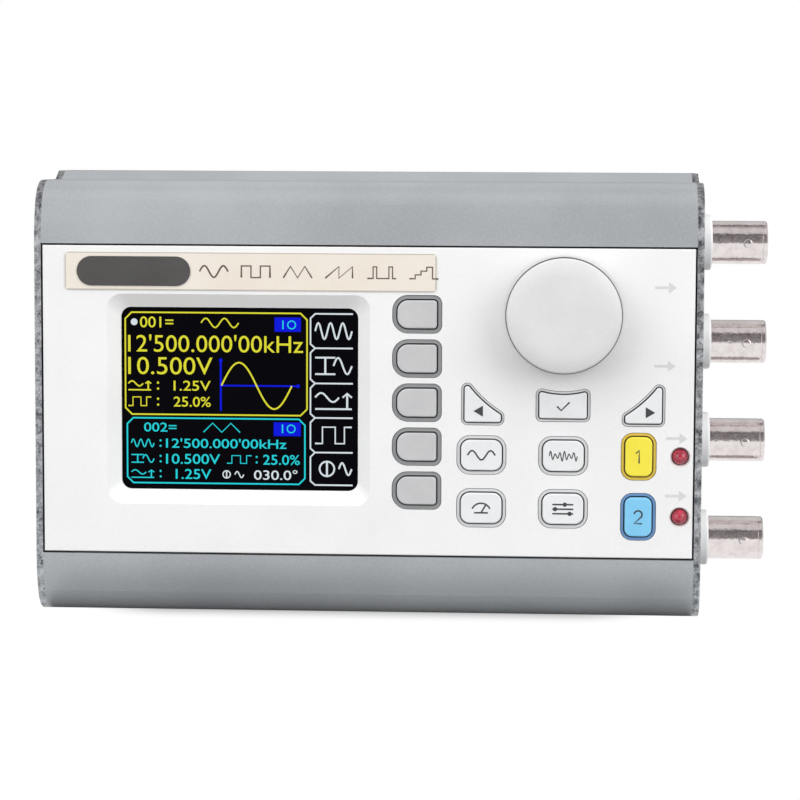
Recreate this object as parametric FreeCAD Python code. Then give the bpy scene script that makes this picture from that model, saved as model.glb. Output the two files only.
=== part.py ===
import FreeCAD, Part
import math
import os

os.makedirs("parts", exist_ok=True)
Vector = FreeCAD.Vector

# A bench function generator: an extruded case closed by two end plates, with a white front panel.
# Millimetres. The design frame has x along the case from its middle, y backwards from the face of
# the front panel, and z up from the case's mid-height. save() moves each piece to the final frame,
# whose origin is the bottom centre of the whole object.

# Case
case_length = 145.0          # over the end plates
plate_thickness = 1.5
case_depth = 46.0            # from the panel's face to the back
half_height = 47.5           # mid-height to the flat top or bottom
band_height = 1.9            # the upper shell's rear part stands this much higher
band_start = 24.0
band_full = 28.0
wall = 1.8
shoulder_lean = 20.0         # degrees turned by the long arc above the panel
shoulder_radius = 7.6        # the tighter arc that follows it
rear_radius = 3.0
lip = 33.9                   # mid-height to the edge of the shell above the panel
screw_hole_radius = 1.25
screw_boss_radius = 3.0
front_screw_y = 6.3
front_screw_z = 41.7
rear_screw_inset = 4.0       # from the case's back and top faces to the screw's axis
seam_chamfer = 0.3

# Front panel
panel_half_length = 70.65
panel_half_height = 33.5
panel_thickness = 2.5
panel_flange = 1.8           # the hidden edge that slides in the shells' slots
flange_front = 1.4           # y of its front, below the panel's face
slot_play = 0.1
panel_posts_x = (-64.0, 18.5, 66.5)
panel_posts_z = (-30.6, 29.8)
panel_post_radius = 2.5
panel_post_hole = 0.9
key_board_front = 9.6        # y of the front board's component side
board_thickness = 1.6

# Screen
window_x = -27.92
window_z = 0.11
window_width = 51.85
window_height = 39.95
window_radius = 2.2
bezel_width = 57.3
bezel_height = 45.9
bezel_radius = 3.2
bezel_depth = 1.9
glass_half_width = 29.6
glass_half_height = 21.4
glass_thickness = 1.4
spacer_rim = 4.0

# Keys: cap sizes, and the ring of skirt that shows round each cap
soft_key_ring = 1.15
arrow_key_ring = 0.75
ok_key_ring = 0.8
menu_key_ring = 1.0
channel_key_ring = 0.95
key_play = 0.12
key_skirt_top = 0.25         # y of the skirt, below the panel's face
key_cap_top = -0.5           # y of the cap, above the panel's face
key_groove = 0.3
key_groove_depth = 0.6
key_flange = 0.35
key_stem_radius = 1.5
switch_size = 6.0
switch_height = 3.5
soft_key_x = 10.9
soft_key_z = -0.1
soft_key_pitch = 9.58
soft_key_width = 8.5
soft_key_height = 6.05
soft_key_left_radius = 2.3
soft_key_right_radius = 0.7
menu_key_width = 8.8
menu_key_height = 6.6
menu_key_radius = 1.9
menu_key_x = 24.95
menu_key_pitch_x = 17.7
menu_key_z = -11.35
menu_key_pitch_z = 11.55
channel_key_x = 58.9
channel_key_pitch = 13.1
channel_key_width = 5.8
channel_key_height = 8.5
channel_key_radius = 1.6
lamp_x = 67.85
lamp_radius = 1.7
lamp_hole_radius = 2.2

# Knob and encoder
knob_x = 42.5
knob_z = 19.45
knob_radius = 12.65
knob_back = -0.6
knob_face = -9.0
knob_flat = 8.2              # radius of the face's flat middle
knob_crown = 11.0            # radius of the arc that falls from it to the shoulder
knob_shoulder = 1.2
knob_wall = 1.8
knob_hollow_y = -5.6
knob_hub_radius = 5.0
knob_hub_end = -3.2
shaft_radius = 3.0
shaft_end = -7.6
shaft_flat = 1.5             # depth of the flat
shaft_flat_end = -3.0
encoder_half = 6.1
bushing_radius = 3.5
bushing_end = -2.6
nut_corner_radius = 5.6
nut_height = 1.8
arrow_key_arc = 25.8         # radius about the knob of the arrow keys' long side
arrow_key_out = 21.25        # from the knob's axis to their outer and inner ends
arrow_key_in = 13.4
arrow_key_bottom = -4.15
ok_key_arc = 17.6            # radius about the knob of the OK key's top side
ok_key_half_width = 5.1
ok_key_bottom = -3.2

# Main board and its connectors
main_board_front = 33.0
main_board_half_height = 43.8
bnc_axis_y = 25.0
bnc_pitch = 22.2
bnc_row_z = 0.8              # middle of the row
bnc_count = 4
bnc_neck_radius = 6.2
bnc_neck_reach = 2.9         # beyond the end plate
bnc_reach = 15.2
bnc_shell_radius = 4.825
bnc_bore_radius = 4.05
bnc_block_half = 7.2
bnc_block_depth = 14.0
bnc_well_depth = 9.0
bnc_contact_depth = 5.2
bnc_contact_radius = 1.05
bnc_lug_reach = 10.7         # from the end plate to the lugs' axis
bnc_lug_radius = 1.0
bnc_lug_height = 1.1
header_z = 30.0
usb_z = 9.0
dc_jack_z = -9.0
power_switch_z = -29.0
power_switch_y = 22.0
rocker_pivot_x = -71.5
rocker_radius = 5.6
rocker_tilt = 10.0

# Label strip and badge, stuck on the panel
strip_left = -65.7
strip_right = 15.0
strip_bottom = 23.9
strip_top = 32.1
strip_radius = 0.9
film = 0.2
badge_x = -50.7
badge_z = 28.0
badge_width = 24.75
badge_height = 6.4

# Feet
foot_height = 1.2
foot_radius = 4.0
foot_x = 62.0
front_foot_y = 19.0
rear_foot_y = 38.0

plate_inner = case_length / 2 - plate_thickness
plate_outer = case_length / 2
long_radius = shoulder_radius + (half_height - shoulder_radius - lip) / math.sin(math.radians(shoulder_lean))
rocker_middle = 2.5          # from the pivot out to the valley of the rocker's face
rocker_end = 4.4             # from the pivot along the rocker to the end of its face


def turned(x, z, degrees):
    """Turn (x, z) about the y axis, positive by the right-hand rule."""
    angle = math.radians(degrees)
    return (x * math.cos(angle) + z * math.sin(angle), -x * math.sin(angle) + z * math.cos(angle))


rocker_corner = (-rocker_middle - rocker_end * math.tan(math.radians(rocker_tilt)), rocker_end)
rocker_reach = rocker_pivot_x + turned(rocker_corner[0], rocker_corner[1], -rocker_tilt)[0]
origin = Vector((plate_outer + bnc_reach + rocker_reach) / 2, (knob_face + case_depth) / 2,
                -half_height - foot_height)


def save(name, *solids):
    shape = solids[0] if len(solids) == 1 else Part.makeCompound(list(solids))
    shape = shape.copy()
    shape.translate(-origin)
    shape.exportStep(f"parts/{name}.step")


def box(x0, x1, y0, y1, z0, z1):
    return Part.makeBox(x1 - x0, y1 - y0, z1 - z0, Vector(x0, y0, z0))


def rod_x(y, z, radius, x0, x1):
    return Part.makeCylinder(radius, x1 - x0, Vector(x0, y, z), Vector(1, 0, 0))


def rod_y(x, z, radius, y0, y1):
    return Part.makeCylinder(radius, y1 - y0, Vector(x, y0, z), Vector(0, 1, 0))


def rod_z(x, y, radius, z0, z1):
    return Part.makeCylinder(radius, z1 - z0, Vector(x, y, z0), Vector(0, 0, 1))


def cone_y(x, z, radius0, radius1, y0, y1):
    return Part.makeCone(radius0, radius1, y1 - y0, Vector(x, y0, z), Vector(0, 1, 0))


def round_long_edges(solid, direction, radius):
    """Fillet the straight edges of a prism that run along the given direction."""
    edges = []
    for edge in solid.Edges:
        if isinstance(edge.Curve, Part.Line) and abs(abs(edge.Curve.Direction.dot(direction)) - 1) < 1e-6:
            edges.append(edge)
    return solid.makeFillet(radius, edges)


def rounded_block(x, z, width, height, radius, y0, y1):
    """A block with its four edges along y rounded."""
    block = box(x - width / 2, x + width / 2, y0, y1, z - height / 2, z + height / 2)
    return round_long_edges(block, Vector(0, 1, 0), radius)


def rounded_outline(x, z, width, height, radius, y):
    """The closed wire of a rounded rectangle at depth y."""
    block = rounded_block(x, z, width, height, radius, y, y + 1)
    face = min(block.Faces, key=lambda f: f.CenterOfMass.y)
    return face.OuterWire


def edge_fillet(solid, radius, keep):
    """Fillet the edges for which keep(edge) is true."""
    return solid.makeFillet(radius, [edge for edge in solid.Edges if keep(edge)])


# ---- case ----

def half_profile(inset, band):
    """The case's closed section above mid-height, as a face in the plane x = 0.

    inset moves the whole outline inwards, and band is the height of the raised rear part.
    """
    lean = math.radians(shoulder_lean)
    long_centre = (long_radius, lip)
    tight_centre = (long_radius - (long_radius - shoulder_radius) * math.cos(lean),
                    lip + (long_radius - shoulder_radius) * math.sin(lean))

    def on(centre, radius, degrees):
        angle = math.radians(degrees)
        return Vector(0, centre[0] - radius * math.cos(angle), centre[1] + radius * math.sin(angle))

    top = half_height - inset
    start = Vector(0, inset, 0)
    lip_point = on(long_centre, long_radius - inset, 0)
    lean_point = on(long_centre, long_radius - inset, shoulder_lean)
    top_point = on(tight_centre, shoulder_radius - inset, 90)
    edges = [
        Part.LineSegment(start, lip_point),
        Part.Arc(lip_point, on(long_centre, long_radius - inset, shoulder_lean / 2), lean_point),
        Part.Arc(lean_point, on(tight_centre, shoulder_radius - inset, (shoulder_lean + 90) / 2), top_point),
    ]
    last = top_point
    if band:
        slope = math.atan2(band, band_full - band_start)
        slide = inset * math.tan(slope / 2)
        for point in [Vector(0, band_start + slide, top), Vector(0, band_full + slide, top + band)]:
            edges.append(Part.LineSegment(last, point))
            last = point
    corner = Vector(0, case_depth - rear_radius, top + band)
    edges.append(Part.LineSegment(last, corner))
    rear_centre = (case_depth - rear_radius, half_height + band - rear_radius)
    rear_point = on(rear_centre, rear_radius - inset, 180)
    edges.append(Part.Arc(corner, on(rear_centre, rear_radius - inset, 135), rear_point))
    foot = Vector(0, case_depth - inset, 0)
    edges.append(Part.LineSegment(rear_point, foot))
    edges.append(Part.LineSegment(foot, start))
    return Part.Face(Part.Wire([edge.toShape() for edge in edges]))


def half_body(inset, band, x0, x1):
    body = half_profile(inset, band).extrude(Vector(x1 - x0, 0, 0))
    body.translate(Vector(x0, 0, 0))
    return body


def mirror_down(shape):
    return shape.mirror(Vector(0, 0, 0), Vector(0, 0, 1))


def screw_places(band):
    """(y, z) of the two screws that each end of a shell takes, z measured from mid-height."""
    return [(front_screw_y, front_screw_z),
            (case_depth - rear_screw_inset, half_height + band - rear_screw_inset)]


def shell(band):
    """One half of the case, as the upper one: wall, panel slot, board guide and screw channels."""
    x0, x1 = -plate_inner, plate_inner
    slot_depth = 1.9
    slot_wall = 1.3
    guide_wall = 1.5
    guide_reach = 3.2
    guide_play = 0.15
    outer = half_body(0, band, x0, x1)
    inner = half_body(wall, band, x0, x1)
    body = outer.cut(inner)
    slot_y1 = panel_thickness + slot_play
    slot_rib = box(x0, x1, 0, slot_y1 + slot_wall, lip, lip + slot_depth + slot_wall)
    guide_y0 = main_board_front - guide_play
    guide_y1 = main_board_front + board_thickness + guide_play
    guide_top = half_height + band - wall / 2
    guide = box(x0, x1, guide_y0 - guide_wall, guide_y1 + guide_wall,
                main_board_half_height + guide_play - guide_reach / 2, guide_top)
    rail = box(x0, x1, case_depth - wall - 2.4, case_depth - wall / 2, 0, 3.0)
    extras = [slot_rib, guide, rail]
    extras += [rod_x(y, z, screw_boss_radius, x0, x1) for y, z in screw_places(band)]
    body = body.fuse([piece.common(outer) for piece in extras])
    cuts = [
        box(x0, x1, -1, 10, -1, lip),
        box(x0, x1, flange_front - slot_play, slot_y1, lip - 1, lip + slot_depth),
        box(x0, x1, guide_y0, guide_y1, 0, main_board_half_height + guide_play),
        box(x0, x1, case_depth - seam_chamfer, case_depth + 1, -1, seam_chamfer),
    ]
    cuts += [rod_x(y, z, screw_hole_radius, x0, x1) for y, z in screw_places(band)]
    return body.cut(cuts).removeSplitter()


def tongue(play):
    """The long rib of the upper shell that enters the lower one at the rear seam."""
    middle = case_depth - wall - 0.6
    return box(-plate_inner, plate_inner, middle - 0.6 - play, middle + 0.6 + play, -1.6 - play, 0.1)


def end_plate_blank(x0):
    """A plate with the outline of the closed case, its outer rim eased."""
    upper = half_body(0, band_height, x0, x0 + plate_thickness)
    lower = mirror_down(half_body(0, 0, x0, x0 + plate_thickness))
    plate = upper.fuse(lower).removeSplitter()
    face_x = x0 if x0 < 0 else x0 + plate_thickness
    return edge_fillet(plate, 0.2, lambda edge: edge.BoundBox.XLength < 1e-6
                       and abs(edge.BoundBox.XMin - face_x) < 1e-6)


def all_screw_places():
    upper = screw_places(band_height)
    lower = [(y, -z) for y, z in screw_places(0)]
    return upper + lower


screw_head_radius = 2.8
screw_head_height = 1.4
screw_shank_radius = 1.22
screw_length = 8.0


def countersunk_screw(y, z):
    """A countersunk screw with its head at x = 0 and its shank towards +x."""
    head = Part.makeCone(screw_head_radius, screw_shank_radius, screw_head_height,
                         Vector(0, y, z), Vector(1, 0, 0))
    shank = rod_x(y, z, screw_shank_radius, 0, screw_length)
    slots = [box(-1, 0.9, y - 0.3, y + 0.3, z - 1.6, z + 1.6), box(-1, 0.9, y - 1.6, y + 1.6, z - 0.3, z + 0.3)]
    return head.fuse(shank).cut(slots)


def countersink(y, z):
    """What a screw takes out of a plate whose outer face is at x = 0."""
    play = 0.12
    cone = Part.makeCone(screw_head_radius + play, screw_shank_radius + play, screw_head_height,
                         Vector(0, y, z), Vector(1, 0, 0))
    mouth = rod_x(y, z, screw_head_radius + play, -1, 0)
    return cone.fuse([mouth, rod_x(y, z, screw_shank_radius + play, 0, plate_thickness + 1)])


def at_end(shape, side):
    """Move a shape made with its outer end at x = 0 to the left (-1) or right (+1) end plate."""
    if side > 0:
        shape = shape.mirror(Vector(0, 0, 0), Vector(1, 0, 0))
    shape = shape.copy()
    shape.translate(Vector(side * plate_outer, 0, 0))
    return shape


def make_case():
    upper = shell(band_height).fuse(tongue(0)).removeSplitter()
    lower = mirror_down(shell(0)).cut(tongue(0.15)).removeSplitter()
    save("upper_shell", upper)
    save("lower_shell", lower)
    left = end_plate_blank(-plate_outer)
    right = end_plate_blank(plate_inner)
    screws = []
    for y, z in all_screw_places():
        left = left.cut(at_end(countersink(y, z), -1))
        right = right.cut(at_end(countersink(y, z), 1))
        screws += [at_end(countersunk_screw(y, z), side) for side in (-1, 1)]
    for z in bnc_places():
        right = right.cut(rod_x(bnc_axis_y, z, bnc_neck_radius + 0.15, 0, case_length))
    for y0, y1, z0, z1 in left_openings():
        left = left.cut(box(-case_length, 0, y0, y1, z0, z1))
    save("left_end_plate", left)
    save("right_end_plate", right)
    save("end_plate_screws", *screws)
    feet = []
    for x in (-foot_x, foot_x):
        for y in (front_foot_y, rear_foot_y):
            foot = rod_z(x, y, foot_radius, -half_height - foot_height, -half_height)
            feet.append(edge_fillet(foot, 0.4, lambda edge: edge.BoundBox.ZMax < -half_height - foot_height / 2))
    save("feet", *feet)


# ---- keys ----

def closed_wire(*edges):
    return Part.Wire([edge.toShape() for edge in edges])


def polygon_wire(points):
    vectors = [Vector(x, 0, z) for x, z in points]
    return Part.makePolygon(vectors + [vectors[0]])


def soft_key_wire(x, z):
    """A rectangle, its two left corners much rounder than its two right ones."""
    half_w, half_h = soft_key_width / 2, soft_key_height / 2
    edges = []
    last = None
    corners = [(1, 1, soft_key_right_radius), (-1, 1, soft_key_left_radius),
               (-1, -1, soft_key_left_radius), (1, -1, soft_key_right_radius)]
    for side, level, radius in corners:
        centre = (x + side * (half_w - radius), z + level * (half_h - radius))
        ends = [Vector(centre[0], 0, centre[1] + level * radius), Vector(centre[0] + side * radius, 0, centre[1])]
        if side * level > 0:
            ends.reverse()
        slant = radius * math.sqrt(0.5)
        middle = Vector(centre[0] + side * slant, 0, centre[1] + level * slant)
        if last:
            edges.append(Part.LineSegment(last, ends[0]))
        edges.append(Part.Arc(ends[0], middle, ends[1]))
        last = ends[1]
    edges.append(Part.LineSegment(last, edges[0].StartPoint))
    return closed_wire(*edges)


def rectangle_wire(x, z, width, height):
    half_w, half_h = width / 2, height / 2
    return polygon_wire([(x + half_w, z + half_h), (x - half_w, z + half_h),
                         (x - half_w, z - half_h), (x + half_w, z - half_h)])


def below_knob(radius, x):
    """The point under the knob's centre on a circle about it, at the given x."""
    return Vector(x, 0, knob_z - math.sqrt(radius ** 2 - (x - knob_x) ** 2))


def arrow_key_wire(side):
    """A right-angled triangle, its long side hollowed round the knob; side is -1 for left."""
    outer_x = knob_x + side * arrow_key_out
    inner_x = knob_x + side * arrow_key_in
    corner = Vector(outer_x, 0, arrow_key_bottom)
    high = below_knob(arrow_key_arc, outer_x)
    low = below_knob(arrow_key_arc, inner_x)
    middle = below_knob(arrow_key_arc, (outer_x + inner_x) / 2)
    tail = Vector(inner_x, 0, arrow_key_bottom)
    return closed_wire(Part.LineSegment(corner, high), Part.Arc(high, middle, low),
                       Part.LineSegment(low, tail), Part.LineSegment(tail, corner))


def ok_key_wire():
    left = below_knob(ok_key_arc, knob_x - ok_key_half_width)
    right = below_knob(ok_key_arc, knob_x + ok_key_half_width)
    middle = below_knob(ok_key_arc, knob_x)
    low_left = Vector(left.x, 0, ok_key_bottom)
    low_right = Vector(right.x, 0, ok_key_bottom)
    return closed_wire(Part.Arc(left, middle, right), Part.LineSegment(right, low_right),
                       Part.LineSegment(low_right, low_left), Part.LineSegment(low_left, left))


def grown_prism(wire, grow, corner, y0, y1):
    """The wire's shape grown outwards and extruded along y; a corner of 0 is left as the wire has it."""
    outline = wire.makeOffset2D(grow) if grow and not corner else wire.makeOffset2D(grow, 2) if grow else wire
    prism = Part.Face(outline).extrude(Vector(0, y1 - y0, 0))
    prism.translate(Vector(0, y0, 0))
    return round_long_edges(prism, Vector(0, 1, 0), corner + grow) if corner else prism


def key(wire, corner, ring):
    """A key at rest: cap, skirt in the panel's hole, flange behind the panel and stem to its switch."""
    centre = Part.Face(wire).CenterOfMass
    cap = grown_prism(wire, 0, corner, key_cap_top, key_skirt_top + key_groove_depth)
    cap = edge_fillet(cap, 0.3, lambda edge: edge.BoundBox.YMax < key_cap_top + 1e-6)
    skirt = grown_prism(wire, ring - key_play, corner, key_skirt_top, panel_thickness + 0.5)
    groove = grown_prism(wire, key_groove, corner, key_skirt_top - 1, key_skirt_top + key_groove_depth)
    flange = grown_prism(wire, ring + key_flange, corner, panel_thickness + 0.3, panel_thickness + 1.1)
    stem = rod_y(centre.x, centre.z, key_stem_radius, panel_thickness + 1, key_board_front - 1.0)
    return skirt.cut(groove).fuse([cap, flange, stem]).removeSplitter()


def key_hole(wire, corner, ring):
    return grown_prism(wire, ring, corner, -1, panel_thickness + 1)


def key_switch(wire):
    """The push switch under a key; its well takes the end of the key's stem."""
    centre = Part.Face(wire).CenterOfMass
    half = switch_size / 2
    body = box(centre.x - half, centre.x + half, key_board_front - switch_height, key_board_front,
               centre.z - half, centre.z + half)
    return body.cut(rod_y(centre.x, centre.z, key_stem_radius + 0.2, 0, key_board_front - 0.5))


def all_keys():
    """node name -> (cap outline, cap corner radius, width of the skirt's ring)"""
    keys = {}
    for number in range(5):
        z = soft_key_z + (2 - number) * soft_key_pitch
        keys[f"soft_key_{number + 1}"] = (soft_key_wire(soft_key_x, z), 0, soft_key_ring)
    keys["left_key"] = (arrow_key_wire(-1), 0.6, arrow_key_ring)
    keys["ok_key"] = (ok_key_wire(), 0.5, ok_key_ring)
    keys["right_key"] = (arrow_key_wire(1), 0.6, arrow_key_ring)
    names = [["wave_key", "modulation_key"], ["meter_key", "system_key"]]
    for row, pair in enumerate(names):
        for column, name in enumerate(pair):
            x = menu_key_x + column * menu_key_pitch_x
            z = menu_key_z - row * menu_key_pitch_z
            wire = rectangle_wire(x, z, menu_key_width, menu_key_height)
            keys[name] = (wire, menu_key_radius, menu_key_ring)
    for number in range(2):
        z = menu_key_z - number * channel_key_pitch
        wire = rectangle_wire(channel_key_x, z, channel_key_width, channel_key_height)
        keys[f"channel_{number + 1}_key"] = (wire, channel_key_radius, channel_key_ring)
    return keys


def lamp_places():
    return [menu_key_z - number * channel_key_pitch for number in range(2)]


def make_keys():
    switches = []
    for name, (wire, corner, ring) in all_keys().items():
        save(name, key(wire, corner, ring))
        switches.append(key_switch(wire))
    save("key_switches", *switches)
    for number, z in enumerate(lamp_places()):
        dome = Part.makeSphere(lamp_radius, Vector(lamp_x, 0.9, z))
        body = rod_y(lamp_x, z, lamp_radius, 0.9, key_board_front - 0.4)
        foot = rod_y(lamp_x, z, lamp_radius + 0.35, key_board_front - 1.4, key_board_front)
        save(f"channel_{number + 1}_lamp", dome.fuse([body, foot]).removeSplitter())


# ---- front panel and screen ----

def panel_posts():
    """(x, z) of the posts behind the panel that carry the front board."""
    return [(x, z) for x in panel_posts_x for z in panel_posts_z]


def make_panel():
    face = box(-panel_half_length, panel_half_length, 0, panel_thickness, -panel_half_height, panel_half_height)
    face = edge_fillet(face, 0.25, lambda edge: edge.BoundBox.YMax < 1e-6)
    flange_half = panel_half_height + panel_flange
    flange = box(-panel_half_length, panel_half_length, flange_front, panel_thickness, -flange_half, flange_half)
    posts = [rod_y(x, z, panel_post_radius, panel_thickness - 0.5, key_board_front) for x, z in panel_posts()]
    panel = face.fuse([flange] + posts).removeSplitter()
    mouth = rounded_outline(window_x, window_z, bezel_width, bezel_height, bezel_radius, 0)
    throat = rounded_outline(window_x, window_z, window_width, window_height, window_radius, bezel_depth)
    bezel = Part.makeLoft([mouth, throat], True, True)
    window = rounded_block(window_x, window_z, window_width, window_height, window_radius, 1, panel_thickness + 1)
    cuts = [bezel, window]
    cuts += [key_hole(wire, corner, ring) for wire, corner, ring in all_keys().values()]
    for z in lamp_places():
        cuts.append(cone_y(lamp_x, z, lamp_hole_radius, lamp_radius + 0.15, 0, 0.8))
        cuts.append(rod_y(lamp_x, z, lamp_radius + 0.15, 0.5, panel_thickness + 1))
    cuts.append(rod_y(knob_x, knob_z, 3.6, -1, panel_thickness + 1))
    cuts += [rod_y(x, z, panel_post_hole, panel_thickness + 1, key_board_front + 1) for x, z in panel_posts()]
    save("front_panel", panel.cut(cuts).removeSplitter())
    strip = rounded_block((strip_left + strip_right) / 2, (strip_bottom + strip_top) / 2,
                          strip_right - strip_left, strip_top - strip_bottom, strip_radius, -film, 0)
    badge = rounded_block(badge_x, badge_z, badge_width, badge_height, 0.499 * badge_height, -2 * film, -film)
    save("name_strip", strip)
    save("name_badge", badge)


def make_screen():
    glass_y0 = panel_thickness + 0.1
    glass_y1 = glass_y0 + glass_thickness
    frame_y1 = glass_y1 + 1.4
    x0, x1 = window_x - glass_half_width, window_x + glass_half_width
    z0, z1 = window_z - glass_half_height, window_z + glass_half_height
    rim = 0.3
    glass = box(x0, x1, glass_y0, glass_y1, z0, z1)
    tray = box(x0 - rim, x1 + rim, glass_y0 + 0.5, frame_y1, z0 - rim, z1 + rim)
    tray = tray.cut(box(x0, x1, 0, glass_y1, z0, z1))
    save("lcd_glass", glass)
    save("lcd_frame", tray)
    spacer = box(x0, x1, frame_y1, key_board_front, z0, z1)
    spacer = spacer.cut(box(x0 + spacer_rim, x1 - spacer_rim, 0, 20, z0 + spacer_rim, z1 - spacer_rim))
    flex_half = 9.0
    spacer = spacer.cut(box(x0 - 1, x0 + spacer_rim - 1, 0, 20, window_z - flex_half - 0.5, window_z + flex_half + 0.5))
    save("lcd_spacer", spacer)
    # The flex leaves the tray's back, turns round in the spacer's gap and lies on the front board.
    bend = 1.2
    thick = 0.2
    bend_x, tail_x = x0 + 1.6, x0 + 2.8
    low, high = window_z - flex_half, window_z + flex_half
    ring = rod_z(bend_x, frame_y1 + bend, bend, low, high)
    ring = ring.cut(rod_z(bend_x, frame_y1 + bend, bend - thick, low, high))
    ring = ring.common(box(x0 - 5, bend_x, 0, 20, low, high))
    tail = box(bend_x, tail_x, frame_y1 + 2 * bend - thick, frame_y1 + 2 * bend, low, high)
    root = box(bend_x, tail_x, frame_y1, frame_y1 + thick, low, high)
    save("lcd_flex", ring.fuse([tail, root]).removeSplitter())


# ---- knob and encoder ----

def make_knob():
    """A knob with a crowned face, hollow behind, its hub bored for the shaft."""
    def at(radius, y):
        return Vector(knob_x + radius, y, knob_z)

    def crown_y(radius):
        return knob_face + knob_crown - math.sqrt(knob_crown ** 2 - (radius - knob_flat) ** 2)

    halfway = (knob_flat + knob_radius) / 2
    middle, edge_of_flat, foot = at(0, knob_face), at(knob_flat, knob_face), at(0, knob_back)
    rim, mouth = at(knob_radius, crown_y(knob_radius)), at(knob_radius, knob_back)
    section = closed_wire(Part.LineSegment(middle, edge_of_flat),
                          Part.Arc(edge_of_flat, at(halfway, crown_y(halfway)), rim),
                          Part.LineSegment(rim, mouth), Part.LineSegment(mouth, foot),
                          Part.LineSegment(foot, middle))
    knob = Part.Face(section).revolve(Vector(knob_x, 0, knob_z), Vector(0, 1, 0), 360)
    knob = edge_fillet(knob, knob_shoulder, lambda edge: edge.BoundBox.YLength < 1e-3
                       and abs(edge.BoundBox.YMax - rim.y) < 1e-3)
    hollow = rod_y(knob_x, knob_z, knob_radius - knob_wall, knob_hollow_y, 0)
    hub = rod_y(knob_x, knob_z, knob_hub_radius, knob_hollow_y - 0.1, knob_hub_end)
    knob = knob.cut(hollow).fuse(hub).cut(encoder_shaft()).removeSplitter()
    save("knob", knob)
    save("encoder_shaft", encoder_shaft())


def encoder_shaft():
    """The round shaft with a flat along the stretch that the knob grips."""
    shaft = rod_y(knob_x, knob_z, shaft_radius, shaft_end, key_board_front - board_thickness)
    high = knob_z + shaft_radius
    return shaft.cut(box(knob_x - shaft_radius, knob_x + shaft_radius, shaft_end - 1, shaft_flat_end,
                         high - shaft_flat, high + 1))


def make_encoder():
    body_y0 = panel_thickness + 0.6
    bore = rod_y(knob_x, knob_z, shaft_radius + 0.05, shaft_end, key_board_front - 1.0)
    body = box(knob_x - encoder_half, knob_x + encoder_half, body_y0, key_board_front,
               knob_z - encoder_half, knob_z + encoder_half)
    save("encoder_body", body.cut(bore))
    bushing = rod_y(knob_x, knob_z, bushing_radius, bushing_end, body_y0)
    save("encoder_bushing", bushing.cut(bore))
    corners = []
    for number in range(7):
        x, z = turned(nut_corner_radius, 0, 60 * number)
        corners.append(Vector(knob_x + x, -nut_height, knob_z + z))
    nut = Part.Face(Part.makePolygon(corners)).extrude(Vector(0, nut_height, 0))
    save("encoder_nut", nut.cut(rod_y(knob_x, knob_z, bushing_radius, -nut_height, nut_height)))


# ---- boards ----

def make_front_board():
    board = box(-68.0, 69.5, key_board_front, key_board_front + board_thickness, -33.0, 32.5)
    board = board.cut([rod_y(x, z, 1.3, 0, 20) for x, z in panel_posts()])
    save("front_board", board)
    screws = []
    for x, z in panel_posts():
        back = key_board_front + board_thickness
        head = rod_y(x, z, 2.1, back, back + 1.5)
        shank = rod_y(x, z, 0.88, back - 5.5, back + 0.5)
        slots = [box(x - 0.25, x + 0.25, back + 0.8, back + 2, z - 1.2, z + 1.2),
                 box(x - 1.2, x + 1.2, back + 0.8, back + 2, z - 0.25, z + 0.25)]
        screws.append(head.fuse(shank).cut(slots))
    save("front_board_screws", *screws)


def on_main_board(x0, x1, z0, z1, height):
    """A block that stands on the main board's component side."""
    return box(x0, x1, main_board_front - height, main_board_front, z0, z1)


def make_main_board():
    half = main_board_half_height
    board = box(-plate_inner + 0.4, plate_inner - 0.4, main_board_front,
                main_board_front + board_thickness, -half, half)
    save("main_board", board)
    save("processor_chip", on_main_board(-30, -16, 2, 16, 1.4))
    save("amplifier_chips", *[on_main_board(34, 39, z - 3, z + 3, 1.6) for z in bnc_places()])
    save("signal_relays", *[on_main_board(42, 52, z - 4, z + 4, 5.5) for z in bnc_places()])
    capacitors = []
    capacitor_radius, capacitor_height = 4.0, 11.0
    for x, z in [(-46, -18), (-46, -28), (-40, -37), (-8, -36)]:
        can = rod_y(x, z, capacitor_radius, main_board_front - capacitor_height, main_board_front)
        capacitors.append(edge_fillet(can, 0.5, lambda edge: edge.BoundBox.YMax < main_board_front - 5))
    save("smoothing_capacitors", *capacitors)
    x0, x1, z0, z1, height, sheet = -6, 26, -12, 22, 4.0, 0.3
    shield = on_main_board(x0, x1, z0, z1, height)
    save("shield_can", shield.cut(on_main_board(x0 + sheet, x1 - sheet, z0 + sheet, z1 - sheet, height - sheet)))


def make_ribbon():
    """The flat cable between the boards: down from one socket, across, and up into the other."""
    x0, x1 = -34.0, -14.0
    thick = 0.5
    bend = 4.0
    front_y = key_board_front + board_thickness + 2.0
    rear_y = main_board_front - 2.0
    low = -36.0
    high = -26.0
    outer = Part.makeBox(x1 - x0, rear_y - front_y + thick, 2 * (high - low), Vector(x0, front_y - thick / 2, low))
    inner = Part.makeBox(x1 - x0, rear_y - front_y - thick, 2 * (high - low) - 2 * thick,
                         Vector(x0, front_y + thick / 2, low + thick))
    outer = round_long_edges(outer, Vector(1, 0, 0), bend)
    inner = round_long_edges(inner, Vector(1, 0, 0), bend - thick)
    loop = outer.cut(inner).cut(box(x0 - 1, x1 + 1, 0, case_depth, high, high + 40))
    save("board_ribbon", loop)
    grip = 1.2
    front = box(x0 - 2, x1 + 2, key_board_front + board_thickness, front_y + grip, high - 2, high + 3)
    rear = box(x0 - 2, x1 + 2, rear_y - grip, main_board_front, high - 2, high + 3)
    save("ribbon_sockets", front.cut(loop), rear.cut(loop))


# ---- connectors ----

def bnc_places():
    return [bnc_row_z - (index - (bnc_count - 1) / 2) * bnc_pitch for index in range(bnc_count)]


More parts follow.
